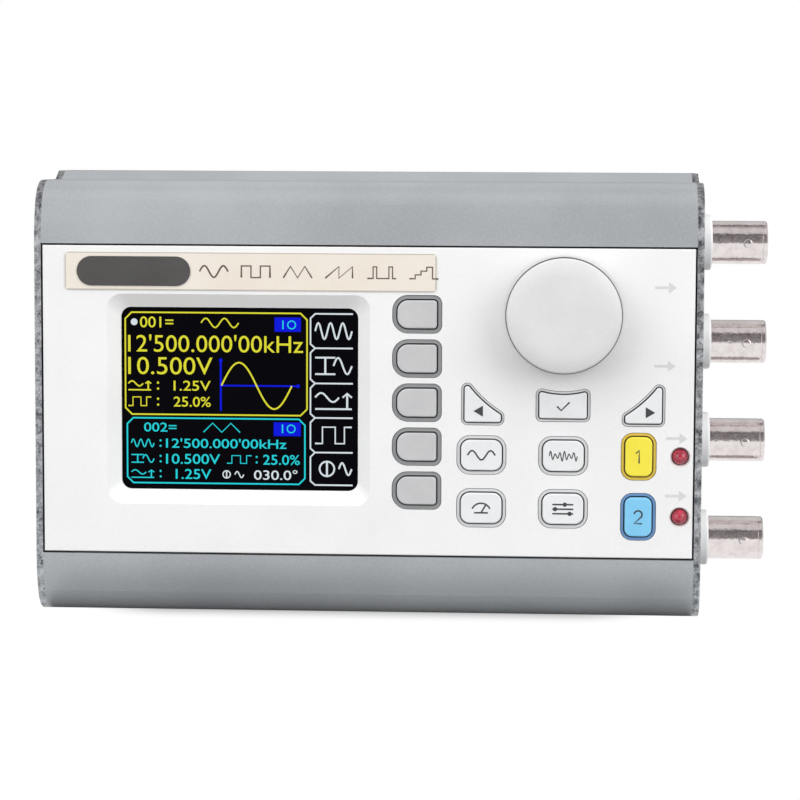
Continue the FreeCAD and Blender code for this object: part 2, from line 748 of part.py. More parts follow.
def make_bnc_jacks():
    tip = plate_outer + bnc_reach
    neck_end = plate_outer + bnc_neck_reach
    shell_start = plate_inner - 6
    floor = tip - bnc_well_depth
    contact_tip = tip - bnc_contact_depth
    lug_x = plate_outer + bnc_lug_reach
    lug_end = bnc_shell_radius + bnc_lug_height
    housings, insulators, contacts = [], [], []
    for number, z in enumerate(bnc_places()):
        y = bnc_axis_y
        block = box(plate_inner - bnc_block_depth, plate_inner - 0.2, y - bnc_block_half, main_board_front,
                    z - bnc_block_half, z + bnc_block_half)
        neck = rod_x(y, z, bnc_neck_radius, plate_inner - 1, neck_end)
        neck = edge_fillet(neck, 0.5, lambda edge: edge.BoundBox.XMin > neck_end - 1e-6)
        housing = block.fuse(neck).cut(rod_x(y, z, bnc_shell_radius, shell_start, tip))
        housings.append(housing.removeSplitter())
        barrel = rod_x(y, z, bnc_shell_radius, shell_start, tip)
        barrel = edge_fillet(barrel, 0.35, lambda edge: edge.BoundBox.XMin > tip - 1e-6)
        lugs = rod_y(lug_x, z, bnc_lug_radius, y - lug_end, y + lug_end)
        barrel = barrel.fuse(lugs).cut(rod_x(y, z, bnc_bore_radius, shell_start - 1, tip + 1))
        save(f"bnc_shell_{number + 1}", barrel.removeSplitter())
        insulator = rod_x(y, z, bnc_bore_radius, shell_start, floor)
        insulator = insulator.fuse(rod_x(y, z, 2.4, floor, contact_tip))
        contact = rod_x(y, z, bnc_contact_radius, shell_start, contact_tip)
        insulators.append(insulator.cut(contact))
        contacts.append(contact.cut(rod_x(y, z, 0.7, contact_tip - 4.3, tip)))
    save("bnc_housings", *housings)
    save("bnc_insulators", *insulators)
    save("bnc_contacts", *contacts)


header_half = 10.2
header_front = 24.1          # y of the connectors' front sides; each stands on the main board
usb_half = 6.0
usb_front = 22.2
usb_axis_y = 27.6
dc_half = 4.6
dc_front = 22.0
dc_axis_y = 26.6
opening_play = 0.2
switch_bezel_half_y = 5.2
switch_bezel_half_z = 7.8
switch_body_half_y = 4.0
switch_body_half_z = 6.6
switch_body_depth = 11.0


def left_openings():
    """(y0, y1, z0, z1) of the left end plate's openings."""
    rows = [(header_front, header_z, header_half), (usb_front, usb_z, usb_half), (dc_front, dc_jack_z, dc_half)]
    openings = []
    for y0, z, half in rows:
        openings.append((y0 - opening_play, main_board_front + 0.2, z - half - opening_play, z + half + opening_play))
    half_y, half_z = switch_body_half_y + opening_play, switch_body_half_z + opening_play
    openings.append((power_switch_y - half_y, power_switch_y + half_y, power_switch_z - half_z, power_switch_z + half_z))
    return openings


def make_left_connectors():
    face = -plate_outer
    # Logic header: a box of pins with a key slot in its wall
    header_wall, header_end_wall = 1.2, 1.4
    well_floor = face + 7.0
    shroud = box(face, face + 9.4, header_front, main_board_front, header_z - header_half, header_z + header_half)
    shroud = shroud.cut(box(face - 1, well_floor, header_front + header_wall, main_board_front - header_wall,
                            header_z - header_half + header_end_wall, header_z + header_half - header_end_wall))
    key_slot = box(face - 1, face + 5, header_front - 0.1, header_front + header_wall + 0.1,
                   header_z - 2.2, header_z + 2.2)
    save("logic_header", shroud.cut(key_slot))
    pins = []
    pin_pitch, pin_half = 2.54, 0.32
    for row in range(2):
        for column in range(5):
            y = (header_front + main_board_front) / 2 + (row - 0.5) * pin_pitch
            z = header_z + (column - 2) * pin_pitch
            pins.append(box(face + 1.2, well_floor, y - pin_half, y + pin_half, z - pin_half, z + pin_half))
    save("header_pins", *pins)
    # USB socket: a square mouth round its tongue
    mouth_half_y, mouth_half_z, mouth_depth = 3.9, 4.2, 9.0
    usb = box(face - 0.4, face + 16, usb_front, main_board_front, usb_z - usb_half, usb_z + usb_half)
    usb = usb.cut(box(face - 1, face + mouth_depth, usb_axis_y - mouth_half_y, usb_axis_y + mouth_half_y,
                      usb_z - mouth_half_z, usb_z + mouth_half_z))
    save("usb_socket", usb)
    save("usb_tongue", box(face + 1.2, face + mouth_depth, usb_axis_y - 1.6, usb_axis_y + 1.6,
                           usb_z - 2.8, usb_z + 2.8))
    # DC jack: a round mouth round its pin
    dc_bore, dc_depth = 3.15, 9.5
    jack = box(face, face + 13, dc_front, main_board_front, dc_jack_z - dc_half, dc_jack_z + dc_half)
    save("dc_jack", jack.cut(rod_x(dc_axis_y, dc_jack_z, dc_bore, face - 1, face + dc_depth)))
    pin = rod_x(dc_axis_y, dc_jack_z, 1.0, face + 1.0, face + dc_depth)
    save("dc_jack_pin", edge_fillet(pin, 0.4, lambda edge: edge.BoundBox.XMax < face + 1.1))


def make_power_switch():
    face = -plate_outer
    well_play = 0.3
    well_half = 3.2
    rocker_half = 2.9
    y, z = power_switch_y, power_switch_z
    bezel = box(face - 1.2, face, y - switch_bezel_half_y, y + switch_bezel_half_y,
                z - switch_bezel_half_z, z + switch_bezel_half_z)
    bezel = edge_fillet(bezel, 0.5, lambda edge: edge.BoundBox.XMax < face - 1.1)
    body = box(face, face + switch_body_depth, y - switch_body_half_y, y + switch_body_half_y,
               z - switch_body_half_z, z + switch_body_half_z)
    well_radius = rocker_radius + well_play
    well = rod_y(rocker_pivot_x, z, well_radius, y - well_half, y + well_half)
    mouth = box(face - 3, rocker_pivot_x, y - well_half, y + well_half, z - well_radius, z + well_radius)
    save("power_switch_body", bezel.fuse(body).cut([well, mouth]).removeSplitter())
    # The rocker is drawn level, its two faces meeting in a valley, then tipped to its stop.
    end_x = rocker_pivot_x + rocker_corner[0]
    deep_x = rocker_pivot_x + 2.0
    valley = Vector(rocker_pivot_x - rocker_middle, 0, z)
    section = Part.Face(Part.makePolygon([valley, Vector(end_x, 0, z + rocker_end), Vector(deep_x, 0, z + rocker_end),
                                          Vector(deep_x, 0, z - rocker_end), Vector(end_x, 0, z - rocker_end),
                                          valley]))
    rocker = section.extrude(Vector(0, 2 * rocker_half, 0))
    rocker.translate(Vector(0, y - rocker_half, 0))
    rocker = rocker.common(rod_y(rocker_pivot_x, z, rocker_radius, y - rocker_half, y + rocker_half))
    rocker.rotate(Vector(rocker_pivot_x, 0, z), Vector(0, 1, 0), -rocker_tilt)
    save("power_rocker", rocker)


make_case()
make_keys()
make_panel()
make_screen()
make_knob()
make_encoder()
make_front_board()
make_main_board()
make_ribbon()
make_bnc_jacks()
make_left_connectors()
make_power_switch()
print("origin in the design frame", [round(value, 4) for value in origin])
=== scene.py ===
import math
import bmesh
import bpy
from functools import partial
from mathutils import Matrix, Vector


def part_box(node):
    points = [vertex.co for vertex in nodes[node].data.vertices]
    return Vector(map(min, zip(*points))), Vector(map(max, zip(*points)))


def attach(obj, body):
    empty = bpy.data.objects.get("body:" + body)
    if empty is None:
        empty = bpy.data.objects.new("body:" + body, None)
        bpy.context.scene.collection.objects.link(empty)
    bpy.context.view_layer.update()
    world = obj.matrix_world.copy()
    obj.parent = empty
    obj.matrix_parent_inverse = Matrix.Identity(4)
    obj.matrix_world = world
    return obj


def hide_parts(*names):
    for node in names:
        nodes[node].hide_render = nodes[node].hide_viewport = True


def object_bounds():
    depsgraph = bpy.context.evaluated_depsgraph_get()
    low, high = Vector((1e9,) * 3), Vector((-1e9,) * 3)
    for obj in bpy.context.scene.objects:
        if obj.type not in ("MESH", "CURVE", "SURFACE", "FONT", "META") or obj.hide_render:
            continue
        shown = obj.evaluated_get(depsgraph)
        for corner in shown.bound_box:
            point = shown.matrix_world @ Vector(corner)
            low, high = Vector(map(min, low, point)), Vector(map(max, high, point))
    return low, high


# A bench function generator in its aluminium case. Sizes in the dictionaries are millimetres unless a note
# says otherwise, and mm turns them to Blender's metres.
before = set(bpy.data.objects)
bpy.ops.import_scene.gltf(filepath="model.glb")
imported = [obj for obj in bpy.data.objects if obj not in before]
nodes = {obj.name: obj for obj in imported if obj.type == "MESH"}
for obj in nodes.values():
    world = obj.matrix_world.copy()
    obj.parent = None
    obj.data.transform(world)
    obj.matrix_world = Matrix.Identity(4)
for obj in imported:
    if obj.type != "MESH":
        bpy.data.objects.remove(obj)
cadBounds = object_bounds()
mm = 0.001
touching = 0.001 * mm    # points nearer than this are at one place
slack = 0.02 * mm    # what a test for a surface's place allows for rounding
smoothAngle = math.radians(32)
panelLow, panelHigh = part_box("front_panel")
faceY = panelLow.y
panelX = (panelLow.x + panelHigh.x) / 2
panelZ = (panelLow.z + panelHigh.z) / 2
print("frame loaded:", len(nodes), "CAD nodes")


# Camera: places are from the middle of the panel's face
cameraLook = {"side": 39.6, "back": 535.0, "up": 54.1, "yaw": 2.91, "pitch": 4.793, "roll": 0.27,
              "lens": 111.95, "sensor": 36.0, "shiftX": -0.03, "shiftY": -0.05, "clip": 10}


def makeCamera():
    look = cameraLook
    bpy.ops.object.camera_add()
    camera = bpy.context.object
    place = Vector((panelX + look["side"] * mm, faceY - look["back"] * mm, panelZ + look["up"] * mm))
    turn = (Matrix.Rotation(math.radians(look["yaw"]), 4, "Z")
            @ Matrix.Rotation(math.radians(90 - look["pitch"]), 4, "X")
            @ Matrix.Rotation(math.radians(look["roll"]), 4, "Z"))
    camera.location = place
    camera.rotation_euler = turn.to_euler()
    camera.data.sensor_width = look["sensor"]
    camera.data.lens = look["lens"]
    camera.data.shift_x = look["shiftX"]
    camera.data.shift_y = look["shiftY"]
    camera.data.clip_start = look["clip"] * mm
    bpy.context.scene.camera = camera


# Nodes and colours

def hexColour(text):
    # sRGB hex to the linear colour that nodes take
    channels = [int(text[i:i + 2], 16) / 255 for i in (1, 3, 5)]
    linear = [c / 12.92 if c <= 0.04045 else ((c + 0.055) / 1.055) ** 2.4 for c in channels]
    return (*linear, 1.0)


def setInputs(node, inputs):
    # Each input is a link, a colour in hex or a plain value
    for name, value in inputs.items():
        if isinstance(value, bpy.types.NodeSocket):
            node.id_data.links.new(value, node.inputs[name])
        else:
            node.inputs[name].default_value = hexColour(value) if isinstance(value, str) else value


def addNode(tree, kind, inputs, stops=None, **settings):
    # Adds a node with its settings, its ramp's stops and its inputs, and gives back its result.
    # A colour Mix takes its share at input 0 and its two colours at 6 and 7.
    node = tree.nodes.new("ShaderNode" + kind)
    if kind == "Mix":
        node.data_type = "RGBA"
    for name, value in settings.items():
        setattr(node, name, value)
    if stops:
        ramp = node.color_ramp
        ramp.elements.remove(ramp.elements[1])
        for index, (position, colour) in enumerate(stops):
            element = ramp.elements[0] if index == 0 else ramp.elements.new(position)
            element.position = position
            element.color = hexColour(colour)
    setInputs(node, inputs)
    number = 2 if kind == "Mix" else 1 if settings.get("operation") == "LENGTH" else 0
    return node.outputs[number]


def startMaterial(name):
    # Gives the material, addNode for its nodes, its shader, and the place on the piece
    material = bpy.data.materials.new(name)
    material.use_nodes = True
    nodeTree = material.node_tree
    place = nodeTree.nodes.new("ShaderNodeTexCoord").outputs["Object"]
    return material, partial(addNode, nodeTree), nodeTree.nodes["Principled BSDF"], place


def cells(size):
    # A texture's scale for features of that many millimetres
    return 1 / (size * mm)


def waves(size):
    # A wave texture's scale for bands that many millimetres apart
    return 2 * math.pi / 20 * cells(size)


# The noises that most finishes share, and how far they swing about their middle
fineNoise = {"Detail": 3.0, "Roughness": 0.6}
slowNoise = {"Detail": 2.0}
bothSwing = {"From Min": 0.75, "From Max": 1.25}    # grain and clouds added up
cloudSwing = {"From Min": 0.3, "From Max": 0.7}


def grained(name, look, tint=None):
    # The base of most finishes here: a fine grain over slow clouds, in colour, shine and relief.
    # A tint changes the colour on one part of the piece.
    material, add, shader, place = startMaterial(name)
    stretched = add("Mapping", {"Vector": place, "Scale": look.get("stretch", (1, 1, 1))})
    grain = add("TexNoise", {"Vector": stretched, "Scale": cells(look["grain"]), **fineNoise})
    clouds = add("TexNoise", {"Vector": place, "Scale": cells(look["cloud"]), **slowNoise})
    both = add("Math", {0: grain, 1: clouds}, operation="ADD")
    tone = add("MapRange", {"Value": both, **bothSwing})
    colour = add("Mix", {0: tone, 6: look["dark"], 7: look["light"]})
    if tint:
        colour = tint(add, place, colour, look)
    spread = look.get("spread", 0.05)
    rough = add("MapRange", {"Value": clouds, **cloudSwing, "To Min": look["rough"] - spread,
                             "To Max": look["rough"] + spread})
    bump = add("Bump", {"Height": grain, "Distance": look["relief"] * mm})
    setInputs(shader, {"Base Color": colour, "Roughness": rough, "Normal": bump, **look.get("shader", {})})
    return material


# One look for each of these finishes: its tones, and its grain, clouds, roughness and relief where they
# aren't the usual ones
usualLook = dict(grain=0.4, cloud=4, rough=0.5, relief=0.004)
metal = {"Metallic": 1.0}
looks = {
    # Anodised aluminium, extruded and bead-blasted: a silky grey, brushed a little by the die
    "beadBlastedAluminium": dict(light="#B4B8BB", dark="#A4A8AC", grain=0.38, cloud=30, rough=0.42, relief=0.02,
                                 spread=0.02, shader={"Metallic": 0.4}),
    # Aluminium plate, laser-cut and blasted: its raw edge sparkles grey and white, its face is calm and even
    "blastedPlate": dict(light="#C9CCCF", dark="#54575A", grain=0.5, cloud=1.6, rough=0.42, relief=0.07,
                         spread=0.12, face="#A3A7AB", calm=0.85, shader=metal),
    # Steel, zinc-plated screws: a cool bright grey with faint smears
    "zincPlatedSteel": dict(light="#C6C8CC", dark="#9A9CA0", cloud=3, rough=0.32,
                            shader=metal),
    # Steel sheet, tin-plated and folded: bright, with drawn streaks
    "tinPlatedSteel": dict(light="#D0D0CE", dark="#A9A9A8", grain=0.3, cloud=5, rough=0.26,
                           stretch=(0.15, 1, 1), shader=metal),
    # Zinc, die-cast: dull grey with small pits
    "diecastZinc": dict(light="#A9ABAD", dark="#85878A", relief=0.02, shader=metal),
    # Aluminium can, deep-drawn: bright and satin
    "drawnAluminium": dict(light="#D2D4D6", dark="#B4B6B9", grain=0.3, rough=0.3,
                           stretch=(1, 0.1, 1), shader=metal),
    # Bronze contact, gold-flashed: warm yellow and bright
    "goldFlash": dict(light="#E8C274", dark="#C79A4A", grain=0.25, cloud=2, rough=0.22, relief=0.002,
                      shader=metal),
    # ABS, moulded against a spark-eroded tool: white with a fine even texture that takes the shine off; its
    # edges deep in the gap round the panel are painted near black, as the gap's shade
    "texturedAbs": dict(light="#F1F1F1", dark="#EAEAEA", grain=0.3, cloud=20, rough=0.42, relief=0.006,
                        gasket="#141517", gasketDepth=0.4, flange=1.8),
    # ABS, moulded and satin: the knob's softer, slightly darker white, with a thin dark line of painted shade
    # round the rim of its face
    "satinAbs": dict(light="#DDDDDD", dark="#D6D6D7", cloud=9, rough=0.36,
                     line="#3C3C3F", lineRadius=12.25, lineEnd=1.7),
    # Nylon, moulded: the milky white necks of the jacks
    "milkyNylon": dict(light="#FAFAFA", dark="#F2F2F2", rough=0.34),
    # PTFE, turned: chalky white insulation
    "turnedPtfe": dict(light="#EFEFEA", dark="#DEDED8", grain=0.25, cloud=2),
    # PBT, moulded: connector black, with the weld lines' faint clouds
    "blackPbt": dict(light="#1F2022", dark="#141416", grain=0.35, rough=0.42, relief=0.01),
    # Polycarbonate, moulded and polished: the switch's glossy black
    "polishedPolycarbonate": dict(light="#161618", dark="#0E0E10", grain=0.8, cloud=5, rough=0.16,
                                  relief=0.003),
    # Epoxy, moulded: chip black with a matt bloom
    "chipEpoxy": dict(light="#26282A", dark="#1A1B1D", grain=0.2, cloud=3, relief=0.006),
    # Polyester, moulded: relay white
    "relayPolyester": dict(light="#E6E5DF", dark="#D6D5CE", cloud=5, rough=0.3),
    # Nylon, moulded: the sockets' cream
    "creamNylon": dict(light="#DDD3BC", dark="#CCC1A8", rough=0.45, relief=0.006),
    # Styrene rubber, moulded: matt black with a worn grey bloom
    "mouldedRubber": dict(light="#36363A", dark="#1E1E20", grain=0.5, cloud=3, rough=0.75, relief=0.03),
    # Polyimide film: amber and glossy
    "polyimideFilm": dict(light="#C98A3A", dark="#A8661F", grain=0.6, rough=0.25, relief=0.003),
    # Ink, pad-printed: soft dark grey with a slightly broken edge
    "padPrint": dict(light="#414246", dark="#2E2F32", grain=0.15, cloud=1, rough=0.55, relief=0.003),
    # Ink, screen-printed: the strip's brown signs, with thin spots
    "brownPrint": dict(light="#6B5A50", dark="#4C3D36", grain=0.2, cloud=2, relief=0.002),
    # Ink, screen-printed: faint grey marks beside the jacks
    "greyPrint": dict(light="#DADADB", dark="#CDCDCF", grain=0.2, cloud=2, relief=0.002),
    # Ink, screen-printed: the switch's white marks
    "whitePrint": dict(light="#E9E9E9", dark="#CFCFCF", grain=0.15, cloud=1, relief=0.003),
    # Epoxy, clear and tinted: a crimson dome with a darker core
    "tintedEpoxy": dict(light="#C4344C", dark="#8A1730", grain=0.5, cloud=1.2, rough=0.12,
                        shader={"Coat Weight": 0.6, "Coat Roughness": 0.05, "Subsurface Weight": 0.2,
                                "Subsurface Scale": 0.001}),
    # Polyester film, printed dark and matt: the badge
    "badgeFilm": dict(light="#4B4A49", dark="#424140", grain=0.25, cloud=8, rough=0.48, relief=0.002),
    # Polyester film, printed cream: the strip, with a hairline round its edge
    "creamFilm": dict(light="#EBE3D9", dark="#E6DDD0", grain=0.3, cloud=16, rough=0.4, relief=0.002,
                      hairline="#BDB5A8", hairlineInset=0.22),
    # Display glass with an anti-glare film: near black, and it keeps only a weak, broad shine
    "antiGlareGlass": dict(light="#050408", dark="#030206", cloud=12, rough=0.34, relief=0.001,
                           shader={"Specular IOR Level": 0.03}),
}


def above(add, value, limit):
    return add("Math", {0: value, 1: limit}, operation="GREATER_THAN")


def fromMiddle(add, value, middle):
    away = add("Math", {0: value, 1: middle}, operation="SUBTRACT")
    return add("Math", {0: away}, operation="ABSOLUTE")


def axes(add, place):
    return add("SeparateXYZ", {0: place}).node.outputs


def gasketTint(add, place, colour, look):
    # The panel's edges deep in the gap between panel and case are painted near black: painted shade of the gap
    x, y, z = axes(add, place)
    half, flange = (panelHigh - panelLow) / 2, look["flange"] * mm
    outside = add("Math", {0: above(add, fromMiddle(add, z, panelZ), half.z - flange - slack),
                           1: above(add, fromMiddle(add, x, panelX), half.x - slack)},
                  operation="MAXIMUM")
    deep = above(add, y, faceY + look["gasketDepth"] * mm)
    gasket = add("Math", {0: outside, 1: deep}, operation="MULTIPLY")
    return add("Mix", {0: gasket, 6: colour, 7: look["gasket"]})


def faceTint(add, place, colour, look):
    # Only the outer and inner faces of the plates lie at their full thickness
    low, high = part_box("right_end_plate")
    x, y, z = axes(add, place)
    fromFace = fromMiddle(add, fromMiddle(add, x, panelX), (low.x + high.x) / 2 - panelX)
    face = above(add, fromFace, (high.x - low.x) / 2 - slack)
    calm = add("Math", {0: face, 1: look["calm"]}, operation="MULTIPLY")
    return add("Mix", {0: calm, 6: colour, 7: look["face"]})


def hairlineTint(add, place, colour, look):
    # The strip's margin, outside the hairline's inset, is darker
    low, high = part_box("name_strip")
    x, y, z = axes(add, place)
    middle, half, inset = (low + high) / 2, (high - low) / 2, look["hairlineInset"] * mm
    outside = add("Math", {0: above(add, fromMiddle(add, x, middle.x), half.x - inset),
                           1: above(add, fromMiddle(add, z, middle.z), half.z - inset)},
                  operation="MAXIMUM")
    return add("Mix", {0: outside, 6: colour, 7: look["hairline"]})


def rimTint(add, place, colour, look):
    # A painted shade line round the rim of the knob's face, which ends a little way down its side
    low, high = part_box("knob")
    x, y, z = axes(add, place)
    middle = (low + high) / 2
    offset = add("CombineXYZ", {"X": fromMiddle(add, x, middle.x), "Z": fromMiddle(add, z, middle.z)})
    radius = add("VectorMath", {0: offset}, operation="LENGTH")
    rim = add("Math", {0: above(add, radius, look["lineRadius"] * mm),
                       1: above(add, y, low.y + look["lineEnd"] * mm)}, operation="SUBTRACT")
    line = add("Math", {0: rim, 1: 0.0}, operation="MAXIMUM")
    return add("Mix", {0: line, 6: colour, 7: look["line"]})


# Brass, turned and nickel-plated: mirror-bright with a warm cast, fine tool rings and finger smears
nickelLook = {"light": "#E9E2E1", "dark": "#DCD4D3", "ring": 0.3, "smear": 2.2, "pit": 0.7, "shiniest": 0.05,
              "dullest": 0.15, "ringRelief": 0.0012, "pitRelief": 0.05}


def makeNickel():
    look = nickelLook
    material, add, shader, place = startMaterial("nickelPlatedBrass")
    rings = add("TexWave", {"Vector": place, "Scale": waves(look["ring"]), "Distortion": 0.4,
                            "Detail": 2.0}, bands_direction="X")
    smears = add("TexNoise", {"Vector": place, "Scale": cells(look["smear"]), **fineNoise})
    pits = add("TexNoise", {"Vector": place, "Scale": cells(look["pit"]), **fineNoise, **slowNoise})
    tone = add("MapRange", {"Value": smears, "From Min": 0.35, "From Max": 0.6})
    colour = add("Mix", {0: tone, 6: look["dark"], 7: look["light"]})
    rough = add("MapRange", {"Value": smears, **cloudSwing, "To Min": look["shiniest"],
                             "To Max": look["dullest"]})
    turned = add("Bump", {"Height": rings, "Distance": look["ringRelief"] * mm})
    bump = add("Bump", {"Height": pits, "Distance": look["pitRelief"] * mm, "Normal": turned})
    setInputs(shader, {"Base Color": colour, "Roughness": rough, "Normal": bump, **metal})
    return material


# Keys: moulded silicone with a hard cap; the skirt it stands in is painted darker than the cap, and the groove
# round the cap darker still, as painted shade of the hole
keyFinish = {"grain": 0.3, "cloud": 5, "rough": 0.42, "relief": 0.004, "skirtDepth": 0.12, "grooveDepth": 0.4}
keyLooks = {
    "greyKey": {"light": "#C6C6C7", "dark": "#BEBEC0", "skirt": "#909294", "groove": "#080809"},
    "whiteKey": {"light": "#EAEBEC", "dark": "#E4E5E6", "skirt": "#D8D9DB", "groove": "#46484A"},
    "yellowKey": {"light": "#F4E64A", "dark": "#F0DE3C", "skirt": "#DFC04A", "groove": "#5E4F1A"},
    "blueKey": {"light": "#84CBF0", "dark": "#78C2EA", "skirt": "#6A94C2", "groove": "#213A58"},
}


def keyTint(add, place, colour, look):
    # Behind the cap's face the skirt and then the groove are painted darker: painted shade in the key's hole
    x, y, z = axes(add, place)
    for part in ("skirt", "groove"):
        behind = above(add, y, faceY + look[part + "Depth"] * mm)
        colour = add("Mix", {0: behind, 6: colour, 7: look[part]})
    return colour


# Glass-fibre laminate under green solder mask: copper tracks show as lighter lines
boardLook = {"light": "#1F6B3C", "dark": "#0F4A28", "middle": "#14552F", "field": 4.8, "track": 0.03,
             "weave": 0.6, "shiniest": 0.24, "dullest": 0.38, "relief": 0.006}


def makeBoard():
    look = boardLook
    material, add, shader, place = startMaterial("solderMaskedLaminate")
    flat = add("Mapping", {"Vector": place, "Scale": (1, 0.01, 1)})
    upright = add("Mapping", {"Vector": flat, "Rotation": (math.radians(90), 0, 0)})
    tracks = add("TexBrick", {"Vector": upright, "Scale": cells(look["field"]),
                              "Color1": look["dark"], "Color2": look["middle"],
                              "Mortar": look["light"], "Mortar Size": look["track"]})
    glass = add("TexNoise", {"Vector": place, "Scale": cells(look["weave"]), **slowNoise})
    rough = add("MapRange", {"Value": glass, "To Min": look["shiniest"], "To Max": look["dullest"]})
    bump = add("Bump", {"Height": glass, "Distance": look["relief"] * mm})
    setInputs(shader, {"Base Color": tracks, "Roughness": rough, "Normal": bump})
    return material


# PVC flat cable: one ridge for each conductor, with the valleys between the ridges painted darker as shade
ribbonLook = {"light": "#B9BBBF", "dark": "#8C8E93", "pitch": 1.27, "rough": 0.4, "relief": 0.1}


def makeRibbon():
    look = ribbonLook
    material, add, shader, place = startMaterial("flatCablePvc")
    ridges = add("TexWave", {"Vector": place, "Scale": waves(look["pitch"])}, bands_direction="X")
    colour = add("Mix", {0: ridges, 6: look["dark"], 7: look["light"]})
    bump = add("Bump", {"Height": ridges, "Distance": look["relief"] * mm})
    setInputs(shader, {"Base Color": colour, "Roughness": look["rough"], "Normal": bump})
    return material


# What the display shows: each colour glows. Its real dots are too fine to show in the render, so its lines
# are as coarse as they need to be.
inkColours = {"displayYellow": "#F2EE3E", "displayCyan": "#2BE4EE", "displayWhite": "#EAF5FC",
              "displayBlue": "#0A1AF0"}
inkLook = {"line": 0.36, "dim": 0.74, "rough": 0.5, "shine": 0.05}


def makeDisplayInk(name):
    material, add, shader, place = startMaterial(name)
    lines, rows = (add("TexWave", {"Vector": place, "Scale": waves(inkLook["line"])},
                       bands_direction=axis) for axis in "ZX")
    dots = add("Math", {0: lines, 1: rows}, operation="MULTIPLY")
    bright = hexColour(inkColours[name])
    dim = tuple(channel * inkLook["dim"] for channel in bright[:3]) + (1.0,)
    colour = add("Mix", {0: dots, 6: dim, 7: bright})
    setInputs(shader, {"Base Color": "#000000", "Emission Color": colour, "Emission Strength": 1.0,
                       "Specular IOR Level": inkLook["shine"], "Roughness": inkLook["rough"]})
    return material


tints = {"blastedPlate": faceTint, "texturedAbs": gasketTint, "satinAbs": rimTint, "creamFilm": hairlineTint}
finishes = {name: grained(name, {**usualLook, **look}, tints.get(name)) for name, look in looks.items()}
finishes.update({name: grained(name, {**keyFinish, **look}, keyTint) for name, look in keyLooks.items()})
finishes.update({name: makeDisplayInk(name) for name in inkColours})
finishes.update({"nickelPlatedBrass": makeNickel(), "solderMaskedLaminate": makeBoard(),
                 "flatCablePvc": makeRibbon()})

# The CAD nodes that each finish is for
nodeFinishes = {
    "beadBlastedAluminium": "upper_shell lower_shell",
    "blastedPlate": "left_end_plate right_end_plate",
    "zincPlatedSteel": "end_plate_screws front_board_screws encoder_shaft",
    "tinPlatedSteel": "shield_can usb_socket lcd_frame",
    "diecastZinc": "encoder_body encoder_bushing",
    "drawnAluminium": "smoothing_capacitors",
    "goldFlash": "bnc_contacts header_pins dc_jack_pin",
    "nickelPlatedBrass": "encoder_nut bnc_shell_1 bnc_shell_2 bnc_shell_3 bnc_shell_4",
    "texturedAbs": "front_panel",
    "satinAbs": "knob",
    "milkyNylon": "bnc_housings lcd_spacer usb_tongue",
    "turnedPtfe": "bnc_insulators",
    "blackPbt": "logic_header dc_jack key_switches",
    "polishedPolycarbonate": "power_switch_body power_rocker",
    "chipEpoxy": "processor_chip amplifier_chips",
    "relayPolyester": "signal_relays",
    "creamNylon": "ribbon_sockets",
    "mouldedRubber": "feet",
    "polyimideFilm": "lcd_flex",
    "tintedEpoxy": "channel_1_lamp channel_2_lamp",
    "badgeFilm": "name_badge",
    "creamFilm": "name_strip",
    "antiGlareGlass": "lcd_glass",
    "solderMaskedLaminate": "front_board main_board",
    "flatCablePvc": "board_ribbon",
    "greyKey": "soft_key_1 soft_key_2 soft_key_3 soft_key_4 soft_key_5",
    "whiteKey": "left_key ok_key right_key wave_key modulation_key meter_key system_key",
    "yellowKey": "channel_1_key",
    "blueKey": "channel_2_key",
}
for finish, names in nodeFinishes.items():
    for name in names.split():
        nodes[name].data.materials.clear()
        nodes[name].data.materials.append(finishes[finish])
bare = set(nodes) - {name for names in nodeFinishes.values() for name in names.split()}
print("materials made:", len(finishes), "CAD nodes without one:", sorted(bare))


# Modelling, in steps that several pieces share

def leaveEditing():
    if bpy.context.mode != "OBJECT":
        bpy.ops.object.mode_set(mode="OBJECT")


def deselectAll():
    leaveEditing()
    bpy.ops.object.select_all(action="DESELECT")


def tidyFaces():
    # All of the piece selected, with its faces turned outwards
    bpy.ops.mesh.select_all(action="SELECT")
    bpy.ops.mesh.normals_make_consistent(inside=False)


def pick(test, kind="verts"):
    # In edit mode, selects what passes the test and nothing else
    bpy.ops.mesh.select_mode(type=kind[:-1].upper())
    bpy.ops.mesh.select_all(action="DESELECT")
    mesh = bmesh.from_edit_mesh(bpy.context.object.data)
    for part in getattr(mesh, kind):
        if test(part):
            part.select_set(True)
    mesh.select_flush_mode()
    bmesh.update_edit_mesh(bpy.context.object.data)


def startPiece(name):
    # The new primitive becomes a piece with its origin at the scene's, open for editing
    piece = bpy.context.object
    piece.name = name
    bpy.ops.object.transform_apply(location=True, rotation=True, scale=True)
    bpy.ops.object.mode_set(mode="EDIT")
    return piece


def drawLine(name, points, closed=False):
    # A plane cut down to one corner, which is drawn out from point to point
    deselectAll()
    bpy.ops.mesh.primitive_plane_add(size=mm, location=points[0])
    piece = startPiece(name)
    pick(lambda vert: vert.index > 0)
    bpy.ops.mesh.delete(type="VERT")
    pick(lambda vert: True)
    mesh = bmesh.from_edit_mesh(piece.data)
    mesh.verts.ensure_lookup_table()
    bpy.ops.transform.translate(value=Vector(points[0]) - mesh.verts[0].co)
    for before, after in zip(points, points[1:]):
        bpy.ops.mesh.extrude_vertices_move(TRANSFORM_OT_translate={"value": Vector(after) - Vector(before)})
    if closed:
        pick(lambda vert: len(vert.link_edges) == 1)
        bpy.ops.mesh.edge_face_add()
    return piece


def roundCorner(point, radius, segments):
    # Rounds one corner of a drawn line
    pick(lambda vert: (vert.co - Vector(point)).length < touching)
    bpy.ops.mesh.bevel(offset=radius * mm, segments=segments, affect="VERTICES")


def spinLine(centre, axis, steps):
    bpy.ops.mesh.select_all(action="SELECT")
    bpy.ops.mesh.spin(steps=steps, angle=2 * math.pi, center=centre, axis=axis)
    bpy.ops.mesh.select_all(action="SELECT")
    bpy.ops.mesh.remove_doubles(threshold=touching)
    tidyFaces()


